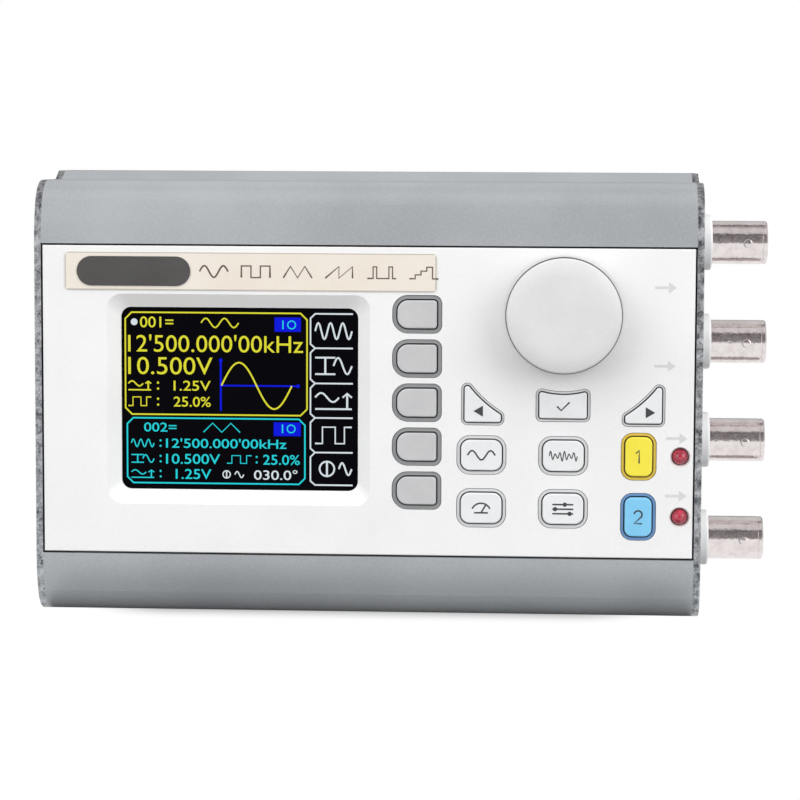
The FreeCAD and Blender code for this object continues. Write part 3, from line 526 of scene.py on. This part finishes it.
def joinPieces(name, pieces):
    deselectAll()
    for piece in pieces:
        piece.select_set(True)
    bpy.context.view_layer.objects.active = pieces[0]
    if len(pieces) > 1:
        bpy.ops.object.join()
    pieces[0].name = name
    return pieces[0]


def finishPiece(piece, body, finish, replaced=()):
    deselectAll()
    piece.select_set(True)
    bpy.context.view_layer.objects.active = piece
    bpy.ops.object.shade_smooth_by_angle(angle=smoothAngle)
    piece.data.materials.clear()
    piece.data.materials.append(finishes[finish])
    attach(piece, body)
    if replaced:
        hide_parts(*replaced)


def copyMoved(piece, name, shift):
    copy = piece.copy()
    copy.data = piece.data.copy()
    copy.data.transform(Matrix.Translation(shift))
    copy.name = name
    bpy.context.scene.collection.objects.link(copy)
    return copy


# Knob: a crowned face round a flat middle, and a ribbed side that widens a little towards the panel
knobSize = {"flat": 8.2, "crown": 11.0, "faceRadius": 12.5, "shoulder": 0.9, "ribStart": 2.0, "ribSlope": 0.25,
            "ribTop": 0.04, "ribDepth": 0.18, "valleyFrom": 12.55, "wall": 1.8, "hollow": 3.4, "hub": 5.0,
            "hubEnd": 2.6, "bore": 3.05, "boreEnd": 1.3, "steps": 192, "crownSteps": 7, "shoulderSteps": 8}


def makeKnob():
    size = knobSize
    low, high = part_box("knob")
    centre = (low + high) / 2
    radius = (high.x - low.x) / 2 / mm
    depth = (high.y - low.y) / mm

    def at(r, back):
        return Vector((centre.x + r * mm, low.y + back * mm, centre.z))

    def crown(r):
        return size["crown"] - math.sqrt(size["crown"] ** 2 - (r - size["flat"]) ** 2)

    rim = at(size["faceRadius"], crown(size["faceRadius"]))
    ribBottom = at(size["faceRadius"], size["ribStart"])
    ribTop = at(radius - size["ribTop"], size["ribStart"] + size["ribSlope"])
    mouth = at(radius, depth)
    points = [at(0, 0), at(size["flat"] / 2, 0), at(size["flat"], 0)]
    for step in range(1, size["crownSteps"]):
        r = size["flat"] + (size["faceRadius"] - size["flat"]) * step / size["crownSteps"]
        points.append(at(r, crown(r)))
    points += [rim, ribBottom, ribTop, mouth, at(radius - size["wall"], depth),
               at(radius - size["wall"], size["hollow"]), at(size["hub"], size["hollow"]),
               at(size["hub"], depth - size["hubEnd"]), at(size["bore"], depth - size["hubEnd"]),
               at(size["bore"], size["boreEnd"]), at(0, size["boreEnd"])]
    knob = drawLine("knob_cap", points)
    roundCorner(rim, size["shoulder"], size["shoulderSteps"])
    spinLine(centre, (0, 1, 0), size["steps"])

    def inValley(vert):
        across, up = vert.co.x - centre.x, vert.co.z - centre.z
        column = round(math.atan2(up, across) / (2 * math.pi) * size["steps"])
        return math.hypot(across, up) > size["valleyFrom"] * mm and column % 2 == 1

    pick(inValley)
    inwards = 1 - size["ribDepth"] / radius
    bpy.ops.transform.resize(value=(inwards, 1, inwards), center_override=centre)
    finishPiece(knob, "knob", "satinAbs", ["knob"])


# BNC barrels: turned tube with a grooved, chamfered mouth and two bayonet lugs
barrelSize = {"bore": 4.05, "mouth": 0.15, "chamfer": 0.3, "rim": 0.9, "groove": 0.14, "grooveWidth": 0.25,
              "grooveSlope": 0.05, "lugRadius": 1.0, "lugFromTip": 4.5, "lugStart": 4.45, "lugRound": 0.25,
              "steps": 96, "lugSteps": 32, "lugRoundSteps": 3}


def makeBarrels():
    size = barrelSize
    low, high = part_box("bnc_shell_1")
    centre = (low + high) / 2
    radius = (high.z - low.z) / 2 / mm
    reach = (high.y - low.y) / 2

    def at(fromTip, r):
        return Vector((high.x - fromTip * mm, centre.y, centre.z + r * mm))

    length = (high.x - low.x) / mm
    rim, slope, bottom = size["rim"], size["grooveSlope"], radius - size["groove"]
    back = rim + size["grooveWidth"]
    points = [at(length, radius), at(back, radius), at(back - slope, bottom), at(rim + slope, bottom),
              at(rim, radius), at(size["chamfer"], radius), at(0, radius - size["chamfer"]),
              at(0, size["bore"] + size["mouth"]), at(size["mouth"], size["bore"]), at(length, size["bore"])]
    barrel = drawLine("barrel", points, closed=True)
    spinLine(centre, (1, 0, 0), size["steps"])
    pieces = [barrel]
    for side in (-1, 1):
        deselectAll()
        start = centre.y + side * size["lugStart"] * mm
        end = centre.y + side * reach
        bpy.ops.mesh.primitive_cylinder_add(
            vertices=size["lugSteps"], radius=size["lugRadius"] * mm, depth=abs(end - start),
            location=(high.x - size["lugFromTip"] * mm, (start + end) / 2, centre.z),
            rotation=(math.radians(90), 0, 0))
        pieces.append(startPiece("lug"))
        pick(lambda edge: all(abs(vert.co.y - end) < touching for vert in edge.verts), "edges")
        bpy.ops.mesh.bevel(offset=size["lugRound"] * mm, segments=size["lugRoundSteps"])
        leaveEditing()
    barrel = joinPieces("bnc_barrel_1", pieces)
    barrels = [barrel]
    for number in (2, 3, 4):
        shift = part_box(f"bnc_shell_{number}")[0] - low
        barrels.append(copyMoved(barrel, f"bnc_barrel_{number}", shift))
    for number, piece in enumerate(barrels):
        finishPiece(piece, "case", "nickelPlatedBrass", [f"bnc_shell_{number + 1}"])


# Feet: stuck-on rubber discs with a hollow underneath
footSize = {"radius": 4.0, "hollow": 1.7, "hollowTop": 1.36, "hollowDepth": 0.35, "edge": 0.35, "steps": 48}


def makeFeet():
    size = footSize
    low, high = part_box("feet")
    radius = size["radius"]
    centre = Vector((low.x + radius * mm, low.y + radius * mm, low.z))
    height = (high.z - low.z) / mm

    def at(r, up):
        return centre + Vector((r * mm, 0, up * mm))

    points = [at(0, size["hollowDepth"]), at(size["hollowTop"], size["hollowDepth"]), at(size["hollow"], 0),
              at(radius - size["edge"], 0), at(radius, size["edge"]), at(radius, height), at(0, height)]
    foot = drawLine("foot", points)
    spinLine(centre, (0, 0, 1), size["steps"])
    deselectAll()
    spanX, spanY = high.x - low.x - 2 * radius * mm, high.y - low.y - 2 * radius * mm
    shifts = [Vector((spanX, 0, 0)), Vector((0, spanY, 0)), Vector((spanX, spanY, 0))]
    copies = [copyMoved(foot, "foot", shift) for shift in shifts]
    finishPiece(joinPieces("rubber_feet", [foot] + copies), "case", "mouldedRubber", ["feet"])


# Marks: strokes, characters and plates, flat and facing the front. A character's own numbers are shares
# of its height.
markDepth = 0.04
textShape = {"curveSteps": 4, "depth": 0.01, "weld": 0.0001}


def extent(corners):
    # The lowest and the highest corner of the box round them
    return [Vector([side(corner[axis] for corner in corners) for axis in range(3)]) for side in (min, max)]


def drawStrokes(name, lines, width, y):
    # lines: lists of (x, z) in metres; a first point repeated at the end closes the line
    deselectAll()
    bpy.ops.curve.primitive_nurbs_path_add()
    stroke = bpy.context.object
    stroke.name = name
    stroke.location = (0, 0, 0)
    curve = stroke.data
    curve.splines.clear()
    for line in lines:
        closed = len(line) > 2 and line[0] == line[-1]
        corners = line[:-1] if closed else line
        spline = curve.splines.new("POLY")
        spline.points.add(len(corners) - 1)
        for point, (x, z) in zip(spline.points, corners):
            point.co = (x, y, z, 1)
        spline.use_cyclic_u = closed
    curve.dimensions = "3D"
    curve.bevel_depth = width * mm / 2
    curve.bevel_resolution = 1
    curve.use_fill_caps = True
    bpy.ops.object.convert(target="MESH")
    bpy.ops.object.mode_set(mode="EDIT")
    bpy.ops.mesh.select_all(action="SELECT")
    bpy.ops.transform.resize(value=(1, markDepth / width, 1), center_override=(0, y, 0))
    tidyFaces()
    leaveEditing()
    return stroke


def drawText(name, text, left, right, bottom, top, y, bold):
    # Characters fitted to a box of the panel, in metres
    deselectAll()
    bpy.ops.object.text_add(rotation=(math.radians(90), 0, 0))
    writing = bpy.context.object
    writing.name = name
    writing.data.body = text
    writing.data.size = 1.0
    writing.data.offset = bold
    writing.data.resolution_u = textShape["curveSteps"]
    writing.data.extrude = textShape["depth"]
    bpy.ops.object.convert(target="MESH")
    bpy.ops.object.transform_apply(location=True, rotation=True, scale=True)
    low, high = extent([vert.co for vert in writing.data.vertices])
    bpy.ops.object.mode_set(mode="EDIT")
    bpy.ops.mesh.select_all(action="SELECT")
    bpy.ops.mesh.remove_doubles(threshold=textShape["weld"])
    scale = ((right - left) / (high.x - low.x), markDepth * mm / (high.y - low.y),
             (top - bottom) / (high.z - low.z))
    bpy.ops.transform.resize(value=scale, center_override=(0, 0, 0))
    shift = (left - low.x * scale[0], y - (low.y + high.y) / 2 * scale[1], bottom - low.z * scale[2])
    bpy.ops.transform.translate(value=shift)
    leaveEditing()
    return writing


def drawPlate(name, points, y):
    # A flat shape with a small thickness; points are (x, z) in metres
    shape = drawLine(name, [(x, y - markDepth * mm / 2, z) for x, z in points], closed=True)
    bpy.ops.mesh.select_all(action="SELECT")
    bpy.ops.mesh.edge_face_add()
    bpy.ops.mesh.extrude_region_move(TRANSFORM_OT_translate={"value": (0, markDepth * mm, 0)})
    tidyFaces()
    leaveEditing()
    return shape


def sineLine(left, middle, width, height, periods, steps=24, swell=0):
    # steps are for each period; swell is how many times the wave shrinks and grows along its width
    line = []
    count = int(steps * periods)
    for n in range(count + 1):
        share = n / count
        size = height / 2 * (1 - markSize["swellDepth"] * math.sin(math.pi * share * swell) ** 2)
        line.append((left + width * share, middle + size * math.sin(2 * math.pi * periods * share)))
    return line


def circleLine(x, z, radius, start=0, sweep=360, steps=24):
    angles = [math.radians(start + sweep * n / steps) for n in range(steps + 1)]
    line = [(x + radius * math.cos(a), z + radius * math.sin(a)) for a in angles]
    if sweep == 360:
        line[-1] = line[0]
    return line


# Key marks: plain numbers, arrows and signs, printed on the caps
markSize = {"stroke": 0.4, "fine": 0.26, "width": 6.0, "height": 2.0, "swellDepth": 0.62, "tickUp": 0.47,
            "digit": 2.8, "digitWidth": 1.7, "arrow": 2.4, "arrowPoint": 2.04, "arrowInset": 2.7,
            "arrowUp": 2.4, "arrowRight": 0.25, "proud": 0.012, "capFront": 0.1}


def capBox(name):
    # The corners of the part of a key that stands in front of the panel
    front = faceY - markSize["capFront"] * mm
    return extent([vert.co for vert in nodes[name].data.vertices if vert.co.y < front])


def moved(lines, x, z):
    # Lines drawn about the origin, brought to their place
    return [[(x + across, z + up) for across, up in line] for line in lines]


def makeKeyMarks():
    size = markSize
    proud = size["proud"] * mm
    half = size["arrow"] / 2 * mm
    for side, name in ((-1, "left_key"), (1, "right_key")):
        low, high = capBox(name)
        x = (low.x if side < 0 else high.x) + (size["arrowRight"] - side * size["arrowInset"]) * mm
        z = low.z + size["arrowUp"] * mm
        point = side * size["arrowPoint"] / 2 * mm
        mark = drawPlate(name.replace("key", "arrow"),
                         [(x - point, z - half), (x + point, z), (x - point, z + half)], low.y - proud)
        finishPiece(mark, name, "padPrint")
    w, h = size["width"] / 2 * mm, size["height"] / 2 * mm
    digitW, digitH = size["digitWidth"] / 2 * mm, size["digit"] / 2 * mm
    sliders = []
    for row, share in ((-1, 0.49), (0, -0.56), (1, 0.14)):
        sliders += [[(-0.75 * w, row * h), (0.75 * w, row * h)], circleLine(share * w, row * h, 0.3 * h)]
    # Each key's mark about the middle of its cap, in shares of the mark's half width and half height
    marks = {
        "channel_1_number": [[(-0.7 * digitW, 0.55 * digitH), (0.1 * digitW, digitH), (0.1 * digitW, -digitH)]],
        "channel_2_number": [circleLine(0, digitH - digitW, digitW, 170, -205, 14)
                             + [(-digitW, -digitH), (digitW, -digitH)]],
        "wave_sign": [sineLine(-w, 0, 2 * w, 2 * h, 1.5)],
        "modulation_sign": [sineLine(-w, 0, 2 * w, 2.3 * h, 6, 10, 2)],
        "meter_sign": [circleLine(0, -h, 2.1 * h, 25, 130), [(0, -h), (h, 0.7 * h)],
                       [(-1.5 * h, -h), (1.5 * h, -h)]],
        "system_sign": sliders,
        "ok_sign": [[(-1.3 * h, 0), (-0.4 * h, -0.9 * h), (1.4 * h, 0.9 * h)]],
    }
    for markName, lines in marks.items():
        name = markName.rsplit("_", 1)[0] + "_key"
        low, high = capBox(name)
        share = size["tickUp"] if name == "ok_key" else 0.5
        lines = moved(lines, (low.x + high.x) / 2, low.z + share * (high.z - low.z))
        width = size["fine"] if name == "modulation_key" else size["stroke"]
        finishPiece(drawStrokes(markName, lines, width, low.y - proud), name, "padPrint")


# Arrows printed on the panel beside the jacks
jackArrowSize = {"places": ((66.6, 25.2), (66.6, 8.3), (69.3, -7.3), (69.3, -19.8)), "length": 4.6,
                 "height": 2.4, "head": 1.68, "bar": 0.6}


def makeJackArrows():
    size = jackArrowSize
    arrows = []
    for across, up in size["places"]:
        x, z = panelX + across * mm, panelZ + up * mm
        half, bar = size["height"] / 2 * mm, size["bar"] / 2 * mm
        tail = x - size["length"] * mm
        neck = x - size["head"] * mm
        points = [(x, z), (neck, z + half), (neck, z + bar), (tail, z + bar), (tail, z - bar), (neck, z - bar),
                  (neck, z - half)]
        arrows.append(drawPlate("jack_arrow", points, faceY - markSize["proud"] * mm))
    finishPiece(joinPieces("jack_arrows", arrows), "case", "greyPrint")


# Signs of waveforms, printed in a row on the strip
stripSignSize = {"first": -33.2, "pitch": 9.1, "width": 6.2, "height": 2.5, "stroke": 0.42}


def makeStripSigns():
    size = stripSignSize
    low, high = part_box("name_strip")
    z = (low.z + high.z) / 2
    w, h = size["width"] / 2 * mm, size["height"] / 2 * mm
    # Each shape is a list of (across, up), both from -1 to 1
    shapes = [
        [(-1 + n / 24, math.sin(2 * math.pi * 1.5 * n / 48)) for n in range(49)],
        [(-1, -1), (-1, 1), (-0.33, 1), (-0.33, -1), (0.33, -1), (0.33, 1), (1, 1), (1, -1)],
        [(-1, -1), (-0.5, 1), (0, -1), (0.5, 1), (1, -1)],
        [(-1, -1), (-0.05, 1), (-0.05, -1), (0.9, 1), (0.9, -1)],
        [(-1, -1), (-0.6, -1), (-0.6, 1), (-0.35, 1), (-0.35, -1), (0.5, -1), (0.5, 1), (0.75, 1), (0.75, -1),
         (1, -1)],
        [(-1, -1), (-0.6, -1), (-0.6, -0.33), (-0.2, -0.33), (-0.2, 0.33), (0.2, 0.33), (0.2, 1), (0.6, 1),
         (0.6, -1), (1, -1)],
    ]
    lines = []
    for number, shape in enumerate(shapes):
        x = panelX + (size["first"] + number * size["pitch"]) * mm
        lines.append([(x + across * w, z + up * h) for across, up in shape])
    signs = drawStrokes("strip_signs", lines, size["stroke"], low.y - markSize["proud"] * mm)
    finishPiece(signs, "case", "brownPrint")


# A bar and a ring on the rocker's two faces: one face stands upright, the other leans out at its top
rockerMarkSize = {"half": 0.8, "stroke": 0.34, "proud": 0.012, "flatness": 0.01}


def makeRockerMarks():
    size = rockerMarkSize
    low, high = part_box("power_rocker")
    middleZ = (low.z + high.z) / 2
    corners = [vert.co for vert in nodes["power_rocker"].data.vertices]
    outer = min(corners, key=lambda corner: corner.x)
    uprightX = min(corner.x for corner in corners if corner.z < middleZ - mm)
    upright = [corner.z for corner in corners if abs(corner.x - uprightX) < size["flatness"] * mm]
    valley = (uprightX, max(upright))
    half = size["half"] * mm
    marks = [("rocker_bar", [(0, -half), (0, half)], valley, (outer.x, outer.z)),
             ("rocker_ring", circleLine(0, 0, half), (uprightX, min(upright)), valley)]
    for name, line, start, end in marks:
        mark = drawStrokes(name, [line], size["stroke"], 0)
        middle = Vector(((start[0] + end[0]) / 2 - size["proud"] * mm, (low.y + high.y) / 2,
                         (start[1] + end[1]) / 2))
        lean = math.atan2(start[0] - end[0], end[1] - start[1])
        mark.data.transform(Matrix.Translation(middle) @ Matrix.Rotation(-lean, 4, "Y")
                            @ Matrix.Rotation(math.radians(-90), 4, "Z"))
        finishPiece(mark, "power_rocker", "whitePrint")


# Display: what it shows is drawn on a grid from the window's top left corner, u to the right and v down.
# Its layers stand a little in front of each other, so that none lies in another.
displaySize = {"width": 51.85, "height": 39.95, "gridWidth": 51.5, "gridHeight": 39.7, "frame": 0.42,
               "line": 0.36, "thin": 0.3, "big": 0.45, "bold": 0.006, "colonDot": 0.12, "axisDot": 0.25,
               "channelDot": 0.75, "proud": 0.03, "traceStep": 0.02, "signStep": 0.03, "boxStep": 0.015,
               "axisStep": 0.005}


def makeDisplay():
    size = displaySize
    low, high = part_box("lcd_glass")
    left = (low.x + high.x) / 2 - size["width"] / 2 * mm
    top = (low.z + high.z) / 2 + size["height"] / 2 * mm
    y = low.y - size["proud"] * mm
    stepU, stepV = size["width"] / size["gridWidth"] * mm, size["height"] / size["gridHeight"] * mm

    def at(u, v):
        return (left + u * stepU, top - v * stepV)

    def frameLine(u0, v0, u1, v1, cut):
        # A box with its corners cut off
        return [at(u0 + cut, v0), at(u1 - cut, v0), at(u1, v0 + cut), at(u1, v1 - cut), at(u1 - cut, v1),
                at(u0 + cut, v1), at(u0, v1 - cut), at(u0, v0 + cut), at(u0 + cut, v0)]

    def text(words, u0, u1, v0, v1, bold=size["bold"]):
        return drawText("digits", words, at(u0, 0)[0], at(u1, 0)[0], at(0, v1)[1], at(0, v0)[1], y, bold)

    def strokes(lines, width, back=0):
        return drawStrokes("strokes", lines, size[width], y + back * mm)

    def colons(*places):
        return [circleLine(*at(u, v), size["colonDot"] * mm, steps=6) for u, v in places]

    def icon(kind, u, v, width, height):
        # Signs in a box about (u, v), drawn in shares of its half width and half height
        w, h = width / 2 * mm, height / 2 * mm
        phaseX, powerX = -0.35 * w, 0.45 * w
        shapes = {
            "rate": [sineLine(-w, 0, 2 * w, 2 * h, 3, 12)],
            "size": [[(-w, h), (0.1 * w, h)], [(-w, -h), (0.1 * w, -h)], [(-0.45 * w, -h), (-0.45 * w, h)],
                     sineLine(0, 0, w, 2 * h, 1, 16)],
            "offset": [[(-w, -h), (w, -h)], sineLine(-w, 0.4 * h, 1.3 * w, 1.1 * h, 1, 16),
                       [(0.75 * w, -h), (0.75 * w, 0.8 * h)],
                       [(0.5 * w, 0.4 * h), (0.75 * w, 0.9 * h), (w, 0.4 * h)]],
            "duty": [[(-w, -h), (-0.6 * w, -h), (-0.6 * w, h), (0.1 * w, h), (0.1 * w, -h), (0.6 * w, -h),
                      (0.6 * w, h), (w, h)]],
            "phase": [circleLine(phaseX, 0, 0.9 * h, steps=16), [(phaseX, -h), (phaseX, h)],
                      sineLine(0.3 * w, 0, 0.7 * w, 1.5 * h, 1, 16)],
            "triangle": [[(-w, -h), (-0.5 * w, h), (0, -h), (0.5 * w, h), (w, -h)]],
            "sine": [sineLine(-w, 0, 2 * w, 2 * h, 2, 16)],
            "power": [circleLine(powerX, 0, 0.9 * h, steps=16), [(-0.6 * w, -h), (-0.6 * w, h)]],
        }
        return moved(shapes[kind], *at(u, v))

    # First channel, yellow
    signs = icon("sine", 21.4, 3.4, 8.2, 2.0) + icon("offset", 3.9, 17.1, 5.0, 2.0)
    signs += icon("duty", 3.9, 20.6, 5.0, 1.9)
    signs += colons((7.9, 16.5), (7.9, 17.8), (7.9, 20.0), (7.9, 21.3))
    wave = sineLine(*at(21.75, 17.0), 15.4 * mm, 10.1 * mm, 1, 48)
    yellow = [strokes([frameLine(0.8, 1.2, 40.35, 23.4, 1.4)], "frame"),
              strokes([wave], "frame", -size["traceStep"]), strokes(signs, "line")]
    yellow += [text("001=", 4.0, 11.3, 2.1, 4.5), text("12'500.000'00kHz", 1.4, 39.5, 6.0, 9.8, 0.0),
               text("10.500V", 1.4, 19.8, 10.9, 14.7, 0.0), text("1.25V", 11.3, 19.4, 16.0, 18.2),
               text("25.0%", 11.3, 19.4, 19.5, 21.7)]
    finishPiece(joinPieces("display_yellow", yellow), "case", "displayYellow")
    print("display: first channel drawn")

    # Second channel, cyan
    signs = icon("triangle", 21.8, 26.2, 8.0, 2.0) + icon("rate", 4.5, 29.7, 5.0, 1.7)
    signs += icon("size", 4.5, 33.1, 5.0, 1.7) + icon("duty", 25.6, 33.1, 5.4, 1.7)
    signs += icon("offset", 4.5, 36.4, 5.0, 1.7)
    signs += colons((8.4, 29.1), (8.4, 30.3), (8.4, 32.5), (8.4, 33.7), (8.4, 35.8), (8.4, 37.0), (29.4, 32.5),
                    (29.4, 33.7))
    signs += icon("power", 36.2, 3.7, 3.6, 1.9) + icon("power", 36.1, 26.3, 3.6, 1.9)
    cyan = [strokes([frameLine(1.15, 24.2, 39.9, 38.4, 1.3)], "frame"),
            strokes(signs, "thin", -size["signStep"]),
            text("002=", 4.8, 11.9, 25.2, 27.2), text("12'500.000'00kHz", 9.6, 35.9, 28.6, 30.7),
            text("10.500V", 9.6, 21.4, 32.0, 34.2), text("25.0%", 30.8, 38.8, 32.0, 34.2),
            text("1.25V", 11.7, 19.5, 35.3, 37.5)]
    finishPiece(joinPieces("display_cyan", cyan), "case", "displayCyan")
    print("display: second channel drawn")

    # Tabs beside the soft keys, white
    edges = (1.25, 8.7, 16.35, 23.85, 31.4, 38.5)
    lines = []
    for upper, lower in zip(edges, edges[1:]):
        lines.append([at(50.3, upper), at(42.1, upper), at(41.1, upper + 1.0), at(41.1, lower - 0.9),
                      at(42.1, lower), at(50.3, lower)])
    white = [strokes(lines, "frame")]
    signs = []
    for kind, upper, lower in zip(("rate", "size", "offset", "duty", "phase"), edges, edges[1:]):
        signs += icon(kind, 46.1, (upper + lower) / 2, 8.0, 3.6)
    white += [strokes(signs, "big"), strokes(icon("phase", 23.8, 36.4, 5.6, 1.8), "thin"),
              text("030.0°", 28.8, 38.3, 35.3, 37.5),
              drawPlate("dot", circleLine(*at(2.75, 3.3), size["channelDot"] * mm, steps=20)[:-1], y)]
    finishPiece(joinPieces("display_white", white), "case", "displayWhite")

    # Blue boxes and the graph's axes
    blue = []
    for u0, v0, u1, v1 in ((33.3, 2.1, 39.0, 5.2), (33.1, 24.9, 39.0, 27.9)):
        blue.append(drawPlate("box", [at(u0, v0), at(u1, v0), at(u1, v1), at(u0, v1)],
                              y + size["boxStep"] * mm))
    axisLines = [[at(21.6, 11.2), at(21.6, 22.5)], [at(21.6, 17.0), at(38.6, 17.0)]]
    axisLines += [circleLine(*end, size["axisDot"] * mm, steps=8) for end in (at(21.6, 11.5), at(38.4, 17.0))]
    blue.append(strokes(axisLines, "frame", size["axisStep"]))
    finishPiece(joinPieces("display_blue", blue), "case", "displayBlue")
    print("display: tabs, boxes and axes drawn")


# Floor, lamps and surroundings, in metres, watts and degrees; only the floor's grain is in millimetres
floorLook = {"half": 4.0, "light": "#909090", "dark": "#868686", "grain": 3, "rough": 0.9, "shine": 0.1,
             "tuck": 0.027, "fade": 0.025, "reach": 0.09}
lampLooks = {
    # Each lamp's place, size and power
    "topLamp": ((0.1, -0.45, 1.18), (3.4, 0.9), 7.6),
    "rightLamp": ((1.3, -1.05, 0.65), (1.5, 1.2), 12.5),
    "leftLamp": ((-1.2, -1.2, 0.6), (1.5, 1.2), 10.0),
}
lampTarget = Vector((0, 0, 0.05))
# What shiny metal shows, by the angle from the horizon in front, over the top, to the back: a dim room
# in front, then lamps' white cloth with one dark seam in it
worldLook = {"soft": 0.85, "roomLow": -12, "roomHigh": 52, "roomDark": "#1C181A", "roomLight": "#C8C2C4",
             "roomDetail": 14.0, "roomTone": (0.4, 0.62),
             "cloth": ((-180, "#FFFFFF"), (50, "#FFFFFF"), (54, "#DEDADB"), (80, "#E2DEDF"), (94, "#B4B0B1"),
                       (104, "#7A7677"), (108, "#5A5657"), (113, "#DCDADA"), (150, "#D6D6D6"), (168, "#8E8E90"),
                       (180, "#828284"))}


def farView(add):
    # 1 for the rays that show the background: camera, glossy and transmission
    path = add("LightPath", {}).node
    seen = add("Math", {0: path.outputs["Is Camera Ray"], 1: path.outputs["Is Glossy Ray"]},
               operation="MAXIMUM")
    return path, add("Math", {0: seen, 1: path.outputs["Is Transmission Ray"]}, operation="MAXIMUM")


def makeFloor():
    look = floorLook
    deselectAll()
    bpy.ops.mesh.primitive_plane_add(size=2 * look["half"], location=(0, 0, cadBounds[0].z))
    floor = bpy.context.object
    floor.name = "floor"
    bpy.ops.object.transform_apply(location=True, rotation=True, scale=True)
    material, add, shader, place = startMaterial("paleFloor")
    # The floor keeps its shadow under and beside the case and fades to the backdrop's white away from it
    low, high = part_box("upper_shell")
    x, y, z = axes(add, place)
    outside = []
    for value, near, far in ((x, low.x, high.x), (y, low.y, high.y)):
        edge = (far - near) / 2 - look["tuck"]
        past = add("Math", {0: fromMiddle(add, value, (near + far) / 2), 1: edge}, operation="SUBTRACT")
        outside.append(add("Math", {0: past, 1: 0.0}, operation="MAXIMUM"))
    offset = add("CombineXYZ", {"X": outside[0], "Y": outside[1]})
    distance = add("VectorMath", {0: offset}, operation="LENGTH")
    away = add("MapRange", {"Value": distance, "From Max": look["fade"]}, interpolation_type="SMOOTHSTEP")
    # Shiny metal also sees the darker floor a little further in front of the case
    ahead = add("MapRange", {"Value": outside[1], "From Min": look["tuck"],
                             "From Max": look["reach"]}, interpolation_type="SMOOTHSTEP")
    mirrored = add("Math", {0: above(add, outside[0], look["tuck"]), 1: ahead}, operation="MAXIMUM")
    path, seen = farView(add)
    shown = add("MapRange", {"Value": path.outputs["Is Glossy Ray"], "To Min": away, "To Max": mirrored})
    white = add("Math", {0: shown, 1: seen}, operation="MULTIPLY")
    grain = add("TexNoise", {"Vector": place, "Scale": cells(look["grain"])})
    colour = add("Mix", {0: grain, 6: look["dark"], 7: look["light"]})
    setInputs(shader, {"Base Color": colour, "Roughness": look["rough"], "Specular IOR Level": look["shine"]})
    glow = add("Emission", {"Strength": 1.0})
    mixed = add("MixShader", {0: white, 1: shader.outputs[0], 2: glow})
    setInputs(material.node_tree.nodes["Material Output"], {"Surface": mixed})
    floor.data.materials.append(material)


def makeLights():
    for name, (place, size, power) in lampLooks.items():
        lamp = bpy.data.lights.new(name, "AREA")
        lamp.shape = "RECTANGLE"
        lamp.size, lamp.size_y = size
        lamp.energy = power
        holder = bpy.data.objects.new(name, lamp)
        holder.location = place
        holder.rotation_euler = (lampTarget - Vector(place)).to_track_quat("-Z", "Y").to_euler()
        # In the top lamp's place shiny metal shows the world's cloth, which is softer
        holder.visible_glossy = name != "topLamp"
        bpy.context.scene.collection.objects.link(holder)
    look = worldLook
    world = bpy.data.worlds.new("studio")
    world.use_nodes = True
    bpy.context.scene.world = world
    add = partial(addNode, world.node_tree)
    path, seen = farView(add)
    direction = add("TexCoord", {}).node.outputs["Generated"]
    x, y, z = axes(add, direction)
    front = add("Math", {0: y, 1: -1.0}, operation="MULTIPLY")
    turn = add("Math", {0: z, 1: front}, operation="ARCTAN2")
    share = add("MapRange", {"Value": turn, "From Min": -math.pi, "From Max": math.pi})
    cloth = add("ValToRGB", {"Fac": share}, [(angle / 360 + 0.5, colour) for angle, colour in look["cloth"]])
    room = add("Math", {0: above(add, turn, math.radians(look["roomLow"])),
                        1: above(add, turn, math.radians(look["roomHigh"]))},
               operation="SUBTRACT")
    shapes = add("TexNoise", {"Vector": direction, "Scale": look["roomDetail"], "Detail": 3.0,
                              "Roughness": 0.7})
    tone = add("MapRange", {"Value": shapes, "From Min": look["roomTone"][0],
                            "From Max": look["roomTone"][1]})
    roomColour = add("Mix", {0: tone, 6: look["roomDark"], 7: look["roomLight"]})
    shown = add("Mix", {0: room, 6: cloth, 7: roomColour})
    colour = add("Mix", {0: path.outputs["Is Glossy Ray"], 6: "#FFFFFF", 7: shown})
    strength = add("MapRange", {"Value": seen, "To Min": look["soft"], "To Max": 1.0})
    setInputs(world.node_tree.nodes["Background"], {"Color": colour, "Strength": strength})
    bpy.context.scene.view_settings.view_transform = "Standard"


makeCamera()
makeKnob()
print("knob made")
makeBarrels()
print("barrels made")
makeFeet()
makeKeyMarks()
makeJackArrows()
makeStripSigns()
makeRockerMarks()
print("feet and marks made")
makeDisplay()
makeFloor()
makeLights()
print("scene lit")
